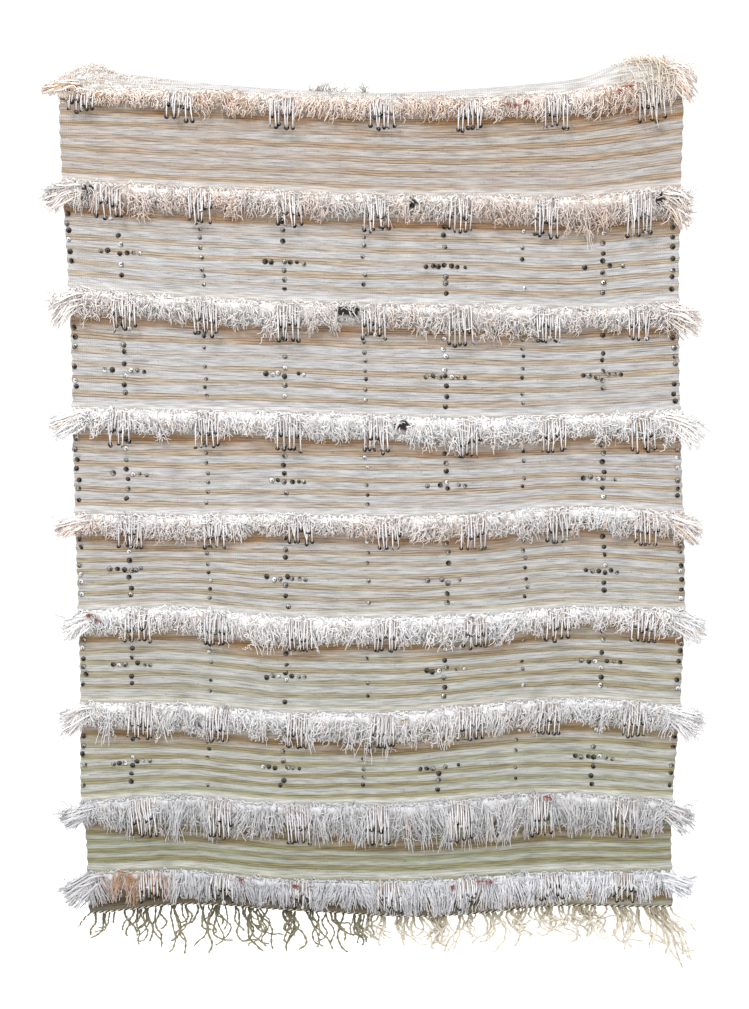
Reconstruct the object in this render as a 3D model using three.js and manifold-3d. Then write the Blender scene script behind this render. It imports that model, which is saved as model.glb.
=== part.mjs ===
// A handira, a Berber wedding blanket, hanging over a line that doesn't show.
// Millimetres, +Z up, the decorated face towards -Y. The origin is the middle of the fold's
// underside, where the line carries the cloth.
import * as THREE from "three";
import Module from "manifold-3d";

const wasm = await Module();
wasm.setup();

// Driving dimensions
const HALF_WIDTH = 600; // nominal half width that the tables are written for
const CLOTH = 3; // thickness of the woven wool ground
const GAP = 0.3; // clearance between pieces that are sewn together
const FOLD_FRONT = 26; // how far the front hangs before the line
const FOLD_DROP = 55; // height in which the front leans back to the crown
const FOLD_BACK = 12; // radius of the turn behind the crown
const SHELF = 35; // height above each pile row in which the ground pushes forward
const SHELF_PUSH = 9; // how far it pushes forward at the row's root
const SHELF_PUSH_BELOW = 4; // and behind the ends of the pile
const CORD_RADIUS = 2.3; // twined cord along each hem
const CORD_SEAT = CORD_RADIUS + 0.5; // from the hem to the cord's middle
const STRIP_HEIGHT = 3; // knotted roots of the warp fringe
const STRIP_DEPTH = 4;
const HEM_CLEAR = 8; // least height left bare between the last pile and the hem

const COLUMNS = 24; // steps across the cloth, closer together near its edges
const EDGE_CROWDING = 0.25;
const SHOULDER_STEPS = 3;
const BACK_STEPS = 5;

// Where the tables are read across the cloth, from its left edge to its right one
const STATIONS = [-600, -400, -200, 0, 200, 400, 600];

// The pile rows from the top: height of the root line, length of the pile below it, and
// the places of the sequin tassels
const PILE_ROWS = [
  {
    name: "pile_row_1",
    root: [6, 2, -8, -15, -17, -6, 25],
    drop: [20, 30, 38, 36, 38, 42, 50],
    tassels: [-555, -370, -172, 20, 190, 355, 535],
  },
  {
    name: "pile_row_2",
    root: [-167, -181, -192, -202, -204, -208, -190],
    drop: [50, 46, 44, 48, 46, 56, 60],
    tassels: [-508, -334, -160, 8, 172, 338, 520],
  },
  {
    name: "pile_row_3",
    root: [-374, -394, -405, -412, -416, -425, -415],
    drop: [60, 42, 62, 44, 60, 40, 58],
    tassels: [-492, -332, -168, -2, 170, 341, 520],
  },
  {
    name: "pile_row_4",
    root: [-613, -619, -624, -632, -638, -635, -627],
    drop: [47, 45, 53, 52, 68, 52, 64],
    tassels: [-505, -332, -172, 0, 180, 351, 523],
  },
  {
    name: "pile_row_5",
    root: [-823, -829, -827, -833, -830, -818, -832],
    drop: [38, 56, 34, 42, 50, 46, 52],
    tassels: [-490, -320, -155, 18, 186, 353, 525],
  },
  {
    name: "pile_row_6",
    root: [-1021, -1016, -1034, -1039, -1035, -1023, -1028],
    drop: [50, 53, 65, 50, 64, 40, 56],
    tassels: [-482, -325, -158, 10, 185, 350, 520],
  },
  {
    name: "pile_row_7",
    root: [-1210, -1216, -1230, -1234, -1222, -1213, -1224],
    drop: [56, 66, 58, 74, 62, 50, 58],
    tassels: [-478, -318, -162, 8, 180, 342, 510],
  },
  {
    name: "pile_row_8",
    root: [-1420, -1410, -1420, -1425, -1417, -1412, -1422],
    drop: [47, 80, 62, 80, 84, 74, 62],
    tassels: [-478, -315, -162, 2, 170, 335, 505],
  },
  {
    name: "pile_row_9",
    root: [-1569, -1568, -1580, -1587, -1585, -1579, -1569],
    drop: [66, 62, 60, 64, 68, 62, 60],
    tassels: [-472, -322, -165, 20, 175, 355, 500],
  },
];

const HEM = [-1657, -1640, -1643, -1659, -1661, -1649, -1645];

// The crown of the fold sags between its two corners, which stand up as ears
const CROWN = {
  x: [-600, -567, -534, -505, -430, -240, 0, 150, 360, 420, 460, 500, 548, 600],
  z: [38, 52, 56, 45, 33, 13, 0, 3, 18, 28, 44, 54, 54, 40],
};

// Length of the cloth behind the crown: its hem lies on the fold at both corners
const TURN_OVER = {
  x: [-600, -540, -470, -400, -310, -200, 200, 320, 400, 470, 530, 600],
  length: [10, 13, 25, 40, 54, 62, 64, 56, 43, 28, 17, 12],
};

// Both edges, from the crown down
const EDGES = {
  z: [-1660, -1480, -1400, -1210, -1010, -900, -680, -460, -220, -40, 60],
  left: [-603, -606, -613, -607, -605, -605, -604, -601, -606, -610, -602],
  right: [605, 599, 602, 614, 620, 617, 607, 600, 599, 603, 600],
};

// Soft upright folds: push is positive away from the front, and full at the lower hem
const FOLDS = {
  start: 100, // how far below the crown they begin
  full: 1660,
  x: [-600, -420, -180, 60, 330, 560],
  halfWidth: [80, 105, 115, 115, 125, 75],
  push: [10, 16, -14, -10, 17, -9],
};

// Section of a pile row: how far it stands off the ground, its unevenness from step to step,
// and how far it reaches past the cloth's edges, drawn in to a share of its section
const PILE = { root: 7, belly: 17, rim: 9, lump: 0.25, droop: 4, droopUneven: 5 };
const PILE_END = { reach: 14, drawnIn: 0.35 };

// Locks that stand out past both edges: share is the place below the root line
const END_LOCKS = [
  { reach: 34, fall: 2, share: 0.25, width: 18 },
  { reach: 40, fall: 16, share: 0.5, width: 20 },
  { reach: 26, fall: 32, share: 0.75, width: 16 },
];
const END_LOCK = { inset: 14, standOff: 9, uneven: 5, tip: 0.35, depth: 0.8 };

// Locks at the rim, between the tassels, which are flat brushes of yarn
const RIM_LOCK = { width: 24, depth: 14, standOff: 9, below: 14, belowUneven: 7 };
const RIM_LOCK_PLACE = { uneven: 24, swing: 12 };
const TASSEL = { width: 26, depth: 6, standOff: 12, below: 24 };

// Warp fringe: number of strands, and their length and sideways sway at the stations
const LOWER_FRINGE = {
  count: 54,
  length: [40, 80, 84, 56, 70, 78, 92],
  sway: [-16, 8, -10, 12, -6, 14, 40],
};
const UPPER_FRINGE = {
  count: 28,
  length: [30, 46, 54, 58, 52, 46, 30],
  sway: [-8, 6, -5, 4, 6, -4, 8],
};
const STRAND = { width: 4.2, taper: 0.1, leave: 6, out: 2, outUneven: 3 };
const STRAND_UNEVEN = { place: 0.3, length: 0.25, sway: 9 };

// Tail of the lower cord past the left edge, with a small knot: out and fall from the corner
const CORD_TAIL = [
  { out: 9, fall: 7, radius: 2.3 },
  { out: 16, fall: 15, radius: 2.2 },
  { out: 21, fall: 22, radius: 4 },
  { out: 25, fall: 29, radius: 3.2 },
];

// Warp ends that fell forward over the right corner, past the first pile row
const CORNER = { from: 486, to: 552, count: 7, drift: 10, driftStep: 3, below: 4, uneven: 7 };
const CORNER_KNOTS = { standOff: 3.2, margin: 4, halfDepth: 4, halfHeight: 2 };

const MATERIALS = {
  ground: new THREE.MeshStandardMaterial({ color: 0xd8cfc0, roughness: 0.95, metalness: 0 }),
  pile: new THREE.MeshStandardMaterial({ color: 0xe6e0d8, roughness: 0.95, metalness: 0 }),
  cord: new THREE.MeshStandardMaterial({ color: 0x4a453d, roughness: 0.9, metalness: 0 }),
  warp: new THREE.MeshStandardMaterial({ color: 0xc4bda4, roughness: 0.95, metalness: 0 }),
};

// A smooth curve through values given at rising places
function through(places, values, at) {
  const last = places.length - 1;
  if (at <= places[0]) return values[0];
  if (at >= places[last]) return values[last];
  let k = 0;
  while (at > places[k + 1]) k += 1;
  const span = places[k + 1] - places[k];
  const t = (at - places[k]) / span;
  const slope = (m) => {
    const a = Math.max(m - 1, 0);
    const b = Math.min(m + 1, last);
    return ((values[b] - values[a]) / (places[b] - places[a])) * span;
  };
  const t2 = t * t;
  const t3 = t2 * t;
  return (
    (2 * t3 - 3 * t2 + 1) * values[k] +
    (t3 - 2 * t2 + t) * slope(k) +
    (3 * t2 - 2 * t3) * values[k + 1] +
    (t3 - t2) * slope(k + 1)
  );
}

const across = (values, x) => through(STATIONS, values, x);
const crownAt = (x) => through(CROWN.x, CROWN.z, x) + CLOTH / 2;
const turnOverAt = (x) => through(TURN_OVER.x, TURN_OVER.length, x);

// A repeatable unevenness from -1 to 1 for a whole number
function uneven(n) {
  const s = Math.sin(n * 12.9898) * 43758.5453;
  return 2 * (s - Math.floor(s)) - 1;
}

// Nominal x of a column: columns lie closer together towards the edges
function columnX(i) {
  const t = (2 * i) / COLUMNS - 1;
  return HALF_WIDTH * ((1 - EDGE_CROWDING) * t + EDGE_CROWDING * Math.sin((t * Math.PI) / 2));
}

// Real x at a height, between the two edges
function edgeFit(x, z) {
  const left = through(EDGES.z, EDGES.left, z);
  const right = through(EDGES.z, EDGES.right, z);
  return THREE.MathUtils.mapLinear(x, -HALF_WIDTH, HALF_WIDTH, left, right);
}

// How far the upright folds push the cloth, growing from the crown to the hem
function foldPush(x, z) {
  const grown = THREE.MathUtils.smoothstep(-z, FOLDS.start, FOLDS.full);
  const push = FOLDS.x.reduce((sum, centre, k) => {
    const t = (x - centre) / FOLDS.halfWidth[k];
    return sum + FOLDS.push[k] * Math.exp(-t * t);
  }, 0);
  return grown * push;
}

// A point of the hanging front at a height, pushed forward where a pile row pulls on it
function frontPoint(x, z, forward) {
  const below = Math.min((crownAt(x) - z) / FOLD_DROP, 1);
  const lean = Math.sqrt(1 - (1 - below) ** 2);
  return new THREE.Vector3(edgeFit(x, z), -FOLD_FRONT * lean + foldPush(x, z) - forward, z);
}

// A point of the turn-over, a length behind the crown
function backPoint(x, length) {
  const turn = Math.min(length / FOLD_BACK, Math.PI / 2);
  const straight = length - turn * FOLD_BACK;
  const z = crownAt(x) - FOLD_BACK * (1 - Math.cos(turn)) - straight;
  return new THREE.Vector3(edgeFit(x, z), FOLD_BACK * Math.sin(turn), z);
}

function rootAt(row, x) {
  return across(row.root, x);
}

function pileEndAt(row, x) {
  return Math.max(rootAt(row, x) - across(row.drop, x), across(HEM, x) + HEM_CLEAR);
}

// The lines of the sheet from the lower hem, up the front, over the crown to the upper hem.
// Each row's pile lies between the line that is noted for it and the next one.
const pileLine = new Map();
const lines = [(x) => frontPoint(x, across(HEM, x), 0)];
for (const row of PILE_ROWS.toReversed()) {
  const first = row === PILE_ROWS[0];
  pileLine.set(row, lines.length);
  lines.push((x) => frontPoint(x, pileEndAt(row, x), first ? 0 : SHELF_PUSH_BELOW));
  lines.push((x) => frontPoint(x, rootAt(row, x), first ? 0 : SHELF_PUSH));
  if (!first) lines.push((x) => frontPoint(x, rootAt(row, x) + SHELF, 0));
}
for (let k = 1; k <= SHOULDER_STEPS; k += 1) {
  lines.push((x) => {
    const rootSine = 1 - (crownAt(x) - rootAt(PILE_ROWS[0], x)) / FOLD_DROP;
    const angle = THREE.MathUtils.lerp(Math.asin(rootSine), Math.PI / 2, k / SHOULDER_STEPS);
    return frontPoint(x, crownAt(x) - FOLD_DROP * (1 - Math.sin(angle)), 0);
  });
}
for (let k = 1; k <= BACK_STEPS; k += 1) {
  lines.push((x) => backPoint(x, (turnOverAt(x) * k) / BACK_STEPS));
}

// The sheet's middle surface, its normals, and its two faces, by column and line
const middle = [];
for (let i = 0; i <= COLUMNS; i += 1) middle.push(lines.map((line) => line(columnX(i))));
const TOP_LINE = lines.length - 1;

function gridTangent(i, j, alongLine) {
  const a = alongLine ? middle[Math.max(i - 1, 0)][j] : middle[i][Math.max(j - 1, 0)];
  const b = alongLine ? middle[Math.min(i + 1, COLUMNS)][j] : middle[i][Math.min(j + 1, TOP_LINE)];
  return b.clone().sub(a).normalize();
}

const normals = middle.map((column, i) =>
  column.map((_, j) => gridTangent(i, j, true).cross(gridTangent(i, j, false)).normalize()),
);
const faceAt = (i, j, off) => middle[i][j].clone().addScaledVector(normals[i][j], off);
const outer = (i, j, off = 0) => faceAt(i, j, CLOTH / 2 + off);
const inner = (i, j) => faceAt(i, j, -CLOTH / 2);

// The place between columns where a nominal x lies
function columnOf(x) {
  let i = 0;
  while (i < COLUMNS - 1 && columnX(i + 1) < x) i += 1;
  return { i, t: THREE.MathUtils.clamp((x - columnX(i)) / (columnX(i + 1) - columnX(i)), 0, 1) };
}

// A point off the outer face at a nominal x, a share of the way from one line to the next
function offFace(x, line, share, off) {
  const { i, t } = columnOf(x);
  const low = outer(i, line, off).lerp(outer(i + 1, line, off), t);
  const high = outer(i, line + 1, off).lerp(outer(i + 1, line + 1, off), t);
  return low.lerp(high, share);
}

function geometryOf(points, faces) {
  const geometry = new THREE.BufferGeometry();
  geometry.setFromPoints(points);
  geometry.setIndex(faces);
  return geometry;
}

// A closed solid through rings of the same number of points
function loft(rings) {
  const n = rings[0].length;
  const faces = [];
  for (let r = 0; r + 1 < rings.length; r += 1) {
    for (let k = 0; k < n; k += 1) {
      const a = r * n + k;
      const b = r * n + ((k + 1) % n);
      faces.push(a, a + n, b, b, a + n, b + n);
    }
  }
  const end = (rings.length - 1) * n;
  for (let k = 1; k + 1 < n; k += 1) {
    faces.push(0, k, k + 1);
    faces.push(end, end + k + 1, end + k);
  }
  return geometryOf(rings.flat(), faces);
}

function toManifold(geometry) {
  return new wasm.Manifold(
    new wasm.Mesh({
      numProp: 3,
      vertProperties: new Float32Array(geometry.getAttribute("position").array),
      triVerts: new Uint32Array(geometry.getIndex().array),
    }),
  );
}

// One solid of a backing and the locks or strands whose roots lie in it
function fused(backing, locks) {
  const joined = locks.reduce((sum, lock) => sum.add(toManifold(lock)), toManifold(backing));
  const mesh = joined.getMesh();
  const geometry = new THREE.BufferGeometry();
  geometry.setAttribute("position", new THREE.BufferAttribute(mesh.vertProperties, mesh.numProp));
  geometry.setIndex(new THREE.BufferAttribute(mesh.triVerts, 1));
  return geometry;
}

// A tapered lock along a path: sizes holds its width and depth at each point
function lock(path, sizes, sides) {
  const depthways = new THREE.Vector3(0, 1, 0);
  const rings = path.map((point, k) => {
    const before = path[Math.max(k - 1, 0)];
    const after = path[Math.min(k + 1, path.length - 1)];
    const along = after.clone().sub(before).normalize();
    const side = along.clone().cross(depthways).normalize();
    const deep = side.clone().cross(along);
    return Array.from({ length: sides }, (_, m) => {
      const angle = ((m + 0.5) / sides) * 2 * Math.PI;
      return point
        .clone()
        .addScaledVector(side, (Math.cos(angle) * sizes[k].width) / 2)
        .addScaledVector(deep, (Math.sin(angle) * sizes[k].depth) / 2);
    });
  });
  return loft(rings);
}

// The woven ground, one sheet from hem to hem
function makeCloth() {
  const perColumn = lines.length;
  const points = [];
  for (const face of [outer, inner]) {
    for (let i = 0; i <= COLUMNS; i += 1) {
      for (let j = 0; j < perColumn; j += 1) points.push(face(i, j));
    }
  }
  const out = (i, j) => i * perColumn + j;
  const back = (i, j) => (COLUMNS + 1) * perColumn + out(i, j);
  const faces = [];
  const quad = (a, b, c, d) => faces.push(a, b, c, a, c, d);
  for (let i = 0; i < COLUMNS; i += 1) {
    for (let j = 0; j < TOP_LINE; j += 1) {
      quad(out(i, j), out(i + 1, j), out(i + 1, j + 1), out(i, j + 1));
      quad(back(i, j), back(i, j + 1), back(i + 1, j + 1), back(i + 1, j));
    }
    quad(out(i, 0), back(i, 0), back(i + 1, 0), out(i + 1, 0));
    quad(out(i, TOP_LINE), out(i + 1, TOP_LINE), back(i + 1, TOP_LINE), back(i, TOP_LINE));
  }
  for (let j = 0; j < TOP_LINE; j += 1) {
    quad(out(0, j), out(0, j + 1), back(0, j + 1), back(0, j));
    quad(out(COLUMNS, j), back(COLUMNS, j), back(COLUMNS, j + 1), out(COLUMNS, j + 1));
  }
  return geometryOf(points, faces);
}

// The lumpy body of a pile row: it lies on the ground from the root line to the pile's end
function pileSlab(row, seed) {
  const line = pileLine.get(row);
  const section = (i) => {
    const lump = 1 + PILE.lump * uneven(seed + i);
    const off = (share, standOff) =>
      outer(i, line, standOff * lump).lerp(outer(i, line + 1, standOff * lump), share);
    const rim = off(0, PILE.rim);
    rim.z -= Math.max(PILE.droop + PILE.droopUneven * uneven(seed + 50 + i), 0);
    return [
      outer(i, line + 1, GAP),
      outer(i, line, GAP),
      rim,
      off(0.3, PILE.belly),
      off(0.95, PILE.root),
    ];
  };
  const end = (ring, outwards) => {
    const centre = ring.reduce((sum, p) => sum.add(p), new THREE.Vector3());
    centre.divideScalar(ring.length);
    const step = new THREE.Vector3(outwards * PILE_END.reach, 0, 0);
    return ring.map((p) => p.clone().lerp(centre, PILE_END.drawnIn).add(step));
  };
  const rings = Array.from({ length: COLUMNS + 1 }, (_, i) => section(i));
  return loft([end(rings[0], -1), ...rings, end(rings[COLUMNS], 1)]);
}

// The sequin tassels of a row, each a flat brush of yarns over the pile
function tasselLocks(row) {
  const line = pileLine.get(row);
  const size = { width: TASSEL.width, depth: TASSEL.depth };
  return row.tassels.map((x) => {
    const top = offFace(x, line, 0.6, TASSEL.standOff);
    const low = offFace(x, line, 0, TASSEL.standOff + 1);
    const tip = low.clone();
    tip.z -= TASSEL.below;
    return lock([top, low, tip], [size, size, size], 4);
  });
}

// Locks of pile that hang lower than the rest
function rimLocks(row, seed) {
  const line = pileLine.get(row);
  const { width, depth } = RIM_LOCK;
  return row.tassels.slice(2).map((right, k) => {
    const between = (right + row.tassels[k + 1]) / 2;
    const x = between + RIM_LOCK_PLACE.uneven * uneven(seed + 7 * k);
    const swing = RIM_LOCK_PLACE.swing * uneven(seed + 3 * k + 1);
    const top = offFace(x, line, 0.5, RIM_LOCK.standOff);
    const low = offFace(x + swing / 2, line, 0, RIM_LOCK.standOff + 1);
    const tip = low.clone();
    tip.x += swing;
    tip.z -= RIM_LOCK.below + RIM_LOCK.belowUneven * uneven(seed + 5 * k + 2);
    const sizes = [1, 0.9, 0.3].map((share) => ({ width: share * width, depth: share * depth }));
    return lock([top, low, tip], sizes, 3);
  });
}

// Locks that stand out sideways past both edges of the cloth
function endLocks(row, seed) {
  const line = pileLine.get(row);
  return [-1, 1].flatMap((outwards) =>
    END_LOCKS.map(({ reach, fall, share, width }, k) => {
      const x = outwards * (HALF_WIDTH - END_LOCK.inset);
      const root = offFace(x, line, 1 - share, END_LOCK.standOff);
      const length = reach + END_LOCK.uneven * uneven(seed + 11 * k + outwards);
      const bend = root.clone();
      bend.x += outwards * (END_LOCK.inset + 0.45 * length);
      bend.z -= 0.25 * fall;
      const tip = root.clone();
      tip.x += outwards * (END_LOCK.inset + length);
      tip.z -= fall;
      const sizes = [1, 0.95, END_LOCK.tip].map((part) => ({
        width: part * width,
        depth: part * width * END_LOCK.depth,
      }));
      return lock([root, bend, tip], sizes, 3);
    }),
  );
}

function makePileRow(row, index) {
  const seed = 100 * (index + 1);
  const locks = [...tasselLocks(row), ...rimLocks(row, seed), ...endLocks(row, seed)];
  return fused(pileSlab(row, seed), locks);
}

// A hem at a column: its middle point, the way off it in the cloth's plane, and the face's normal
function hemFrame(i, upper) {
  const j = upper ? TOP_LINE : 0;
  const off = gridTangent(i, j, true).cross(normals[i][j]).normalize();
  if (upper) off.negate();
  return { point: middle[i][j], off, normal: normals[i][j] };
}

// The twined cord along a hem
function makeHemCord(upper) {
  const centres = [];
  for (let i = 0; i <= COLUMNS; i += 1) {
    const { point, off } = hemFrame(i, upper);
    centres.push(point.clone().addScaledVector(off, CORD_SEAT));
  }
  const radii = centres.map(() => CORD_RADIUS);
  if (!upper) {
    const corner = centres[0];
    for (const { out, fall, radius } of CORD_TAIL) {
      centres.unshift(new THREE.Vector3(corner.x - out, corner.y - out / 6, corner.z - fall));
      radii.unshift(radius);
    }
  }
  const sizes = radii.map((radius) => ({ width: 2 * radius, depth: 2 * radius }));
  return lock(centres, sizes, 6);
}

// The strip of knotted warp ends beyond a hem's cord
function fringeStrip(upper) {
  const half = STRIP_DEPTH / 2;
  const rings = [];
  for (let i = 0; i <= COLUMNS; i += 1) {
    const { point, off, normal } = hemFrame(i, upper);
    const near = point.clone().addScaledVector(off, 2 * CORD_SEAT);
    const far = near.clone().addScaledVector(off, STRIP_HEIGHT);
    const ring = [
      near.clone().addScaledVector(normal, half),
      near.clone().addScaledVector(normal, -half),
      far.clone().addScaledVector(normal, -half),
      far.clone().addScaledVector(normal, half),
    ];
    rings.push(upper ? ring.reverse() : ring);
  }
  return loft(rings);
}

// A strand of the warp fringe: it leaves the strip along the cloth, then falls
function fringeStrand(upper, n) {
  const { count, length, sway } = upper ? UPPER_FRINGE : LOWER_FRINGE;
  const spread = (n + 0.5 + STRAND_UNEVEN.place * uneven(n)) / count;
  const x = THREE.MathUtils.lerp(-HALF_WIDTH, HALF_WIDTH, spread);
  const { i, t } = columnOf(x);
  const a = hemFrame(i, upper);
  const b = hemFrame(i + 1, upper);
  const off = a.off.clone().lerp(b.off, t).normalize();
  const root = a.point.clone().lerp(b.point, t);
  root.addScaledVector(off, 2 * CORD_SEAT + STRIP_HEIGHT / 2);
  const fall = across(length, x) * (1 + STRAND_UNEVEN.length * uneven(n + 31));
  const swing = across(sway, x) + STRAND_UNEVEN.sway * uneven(n + 67);
  const out = (upper ? 1 : -1) * (STRAND.out + STRAND.outUneven * uneven(2 * n + 5));
  const leave = root.clone().addScaledVector(off, STRAND.leave);
  const hang = leave.clone().add(new THREE.Vector3(0.5 * swing, out, -0.45 * fall));
  const tip = leave.clone().add(new THREE.Vector3(swing, 1.6 * out, -fall));
  const path = new THREE.CatmullRomCurve3([root, leave, hang, tip]).getPoints(3);
  const sizes = path.map((_, k) => {
    const width = STRAND.width * (1 - STRAND.taper * k);
    return { width, depth: width };
  });
  return lock(path, sizes, 3);
}

function makeFringe(upper) {
  const { count } = upper ? UPPER_FRINGE : LOWER_FRINGE;
  const strands = Array.from({ length: count }, (_, n) => fringeStrand(upper, n));
  return fused(fringeStrip(upper), strands);
}

// Warp ends at the right corner on their own knotted root
function makeCornerStrands() {
  const crest = TOP_LINE - BACK_STEPS;
  const pile = pileLine.get(PILE_ROWS[0]);
  const root = (x) => offFace(x, crest, 0, CORNER_KNOTS.standOff);
  const { margin, halfDepth, halfHeight } = CORNER_KNOTS;
  const ends = [CORNER.from - margin, (CORNER.from + CORNER.to) / 2, CORNER.to + margin];
  const rings = ends.map((x) => {
    const at = root(x);
    const corner = (y, z) => at.clone().add(new THREE.Vector3(0, y, z));
    return [
      corner(-halfDepth, -halfHeight),
      corner(-halfDepth, halfHeight),
      corner(halfDepth, halfHeight),
      corner(halfDepth, -halfHeight),
    ];
  });
  const strands = Array.from({ length: CORNER.count }, (_, k) => {
    const x = THREE.MathUtils.lerp(CORNER.from, CORNER.to, k / (CORNER.count - 1));
    const drift = CORNER.drift + CORNER.driftStep * k;
    const tip = offFace(Math.min(x + drift, HALF_WIDTH), pile, 0, 27);
    tip.z -= CORNER.below + CORNER.uneven * uneven(k + 9);
    const path = [
      root(x),
      offFace(x + 0.3 * drift, crest - 1, 0.3, 13),
      offFace(x + 0.6 * drift, pile + 1, 0.2, 25),
      tip,
    ];
    const size = { width: STRAND.width, depth: STRAND.width };
    return lock(path, path.map(() => size), 3);
  });
  return fused(loft(rings), strands);
}

const blanket = new THREE.Group();

function place(name, geometry, material) {
  const mesh = new THREE.Mesh(geometry, material);
  mesh.name = name;
  blanket.add(mesh);
}

place("ground_cloth", makeCloth(), MATERIALS.ground);
PILE_ROWS.forEach((row, index) => place(row.name, makePileRow(row, index), MATERIALS.pile));
place("hem_cord_lower", makeHemCord(false), MATERIALS.cord);
place("hem_cord_upper", makeHemCord(true), MATERIALS.cord);
place("warp_fringe_lower", makeFringe(false), MATERIALS.warp);
place("warp_fringe_upper", makeFringe(true), MATERIALS.warp);
place("corner_strands", makeCornerStrands(), MATERIALS.warp);

export default blanket;
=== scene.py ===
# %% [markdown]
# A handira is a wedding blanket from the Atlas mountains. It is woven on an upright loom from
# undyed sheep's wool in fine weft stripes. Between the stripes the weaver knots rows of long
# pile, hangs tassels of white yarn in them, and sews hundreds of small metal discs on.
# Here the blanket hangs over a line that doesn't show, with its decorated face towards -Y.
#
# The solids of the same blanket, made elsewhere, are loaded first. They fix where every piece
# is, and each piece made below lies on them. Lengths are written in millimetres, as a weaver
# would give them, and become metres only where a mesh is made.

# %% Load the solids
import math

import bpy
import numpy as np
from mathutils import Matrix, Vector


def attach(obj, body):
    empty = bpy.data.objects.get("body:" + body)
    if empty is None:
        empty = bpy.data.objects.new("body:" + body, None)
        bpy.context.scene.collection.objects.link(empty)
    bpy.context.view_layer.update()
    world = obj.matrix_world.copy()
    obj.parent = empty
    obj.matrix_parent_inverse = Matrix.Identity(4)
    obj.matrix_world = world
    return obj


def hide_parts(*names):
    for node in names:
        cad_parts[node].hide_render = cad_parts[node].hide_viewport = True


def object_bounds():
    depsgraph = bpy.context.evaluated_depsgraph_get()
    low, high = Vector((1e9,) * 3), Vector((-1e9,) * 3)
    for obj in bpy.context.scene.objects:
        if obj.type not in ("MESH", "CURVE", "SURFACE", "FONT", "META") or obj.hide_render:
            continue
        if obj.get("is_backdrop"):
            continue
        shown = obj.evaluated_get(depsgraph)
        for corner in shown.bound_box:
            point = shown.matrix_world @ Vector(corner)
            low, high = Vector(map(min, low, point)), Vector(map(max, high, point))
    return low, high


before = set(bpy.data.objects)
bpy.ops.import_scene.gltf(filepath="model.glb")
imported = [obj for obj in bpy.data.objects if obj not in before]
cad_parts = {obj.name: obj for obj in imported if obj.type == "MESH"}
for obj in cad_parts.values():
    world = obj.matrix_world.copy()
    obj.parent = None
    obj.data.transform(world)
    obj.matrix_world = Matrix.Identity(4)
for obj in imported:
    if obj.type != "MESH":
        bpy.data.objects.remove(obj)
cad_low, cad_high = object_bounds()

MM = 0.001
scene = bpy.context.scene
print("solids:", sorted(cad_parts))

# %% [markdown]
# The camera comes first, because every later choice is judged through it. The photograph was
# taken from about three metres away and 0.4 m below the fold, looking down by 7 degrees. The
# lens is worked out from the picture's long side of 1009 pixels.

# %% Camera
LONG_SIDE = 1009
FOCAL_PIXELS = 1609
SENSOR = 36.0
CAMERA_PLACE = (-4, -3226, -397)
LOOK_DOWN = 7.3
ROLL = -0.5

camera_data = bpy.data.cameras.new("camera")
camera_data.sensor_width = SENSOR
camera_data.lens = SENSOR * FOCAL_PIXELS / LONG_SIDE
camera = bpy.data.objects.new("camera", camera_data)
scene.collection.objects.link(camera)
aim = Matrix.Rotation(math.radians(90 - LOOK_DOWN), 4, "X")
level = Matrix.Rotation(math.radians(ROLL), 4, "Z")
camera.matrix_world = Matrix.Translation(Vector(CAMERA_PLACE) * MM) @ aim @ level
scene.camera = camera
print("lens", round(camera_data.lens, 1), "mm")

# %% [markdown]
# Wool is matt and full of small shadows, so the light is broad: a large panel high in front on
# the left, a weak one on the right, one behind, and a pale sky all round. The floor is only a
# plane well below the fringe. The Standard view keeps pale wool pale.

# %% Light and floor
# Each panel's name, place in metres, side in metres and power in watts
PANELS = [
    ("key_panel", (-1.7, -2.7, 2.7), 1.5, 146),
    ("fill_panel", (2.6, -2.8, 0.2), 2.4, 14),
    ("back_panel", (0.6, 3.4, 1.2), 2.4, 60),
]
PANELS_FACE = (0, 0, -0.8)
SKY_COLOUR = (0.97, 0.985, 1.0, 1)
SKY_STRENGTH = 1.15
FLOOR_HALF = 30.0
FLOOR_HEIGHT = -2300 * MM


def area_light(name, place, side, power):
    """A square light panel that faces the blanket's middle."""
    data = bpy.data.lights.new(name, "AREA")
    data.shape = "SQUARE"
    data.size = side
    data.energy = power
    light = bpy.data.objects.new(name, data)
    light.location = place
    light.rotation_mode = "QUATERNION"
    light.rotation_quaternion = (Vector(PANELS_FACE) - light.location).to_track_quat("-Z", "Y")
    scene.collection.objects.link(light)


for panel in PANELS:
    area_light(*panel)

world = bpy.data.worlds.new("pale_sky")
world.use_nodes = True
world.node_tree.nodes["Background"].inputs["Color"].default_value = SKY_COLOUR
world.node_tree.nodes["Background"].inputs["Strength"].default_value = SKY_STRENGTH
scene.world = world
scene.view_settings.view_transform = "Standard"

floor_mesh = bpy.data.meshes.new("floor")
corner_signs = [(-1, -1), (1, -1), (1, 1), (-1, 1)]
floor_corners = [(FLOOR_HALF * i, FLOOR_HALF * j, FLOOR_HEIGHT) for i, j in corner_signs]
floor_mesh.from_pydata(floor_corners, [], [(0, 1, 2, 3)])
floor = bpy.data.objects.new("floor", floor_mesh)
scene.collection.objects.link(floor)
floor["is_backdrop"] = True

# %% [markdown]
# A material in Blender is a tree of nodes. Wiring dozens of Math nodes by hand is hard to
# read, so one small class wraps a node's output and lets Python's own operators make them.
# Every other node comes from one function that takes its type, its settings, and what goes
# into its sockets.

# %% Wires and nodes


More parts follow.
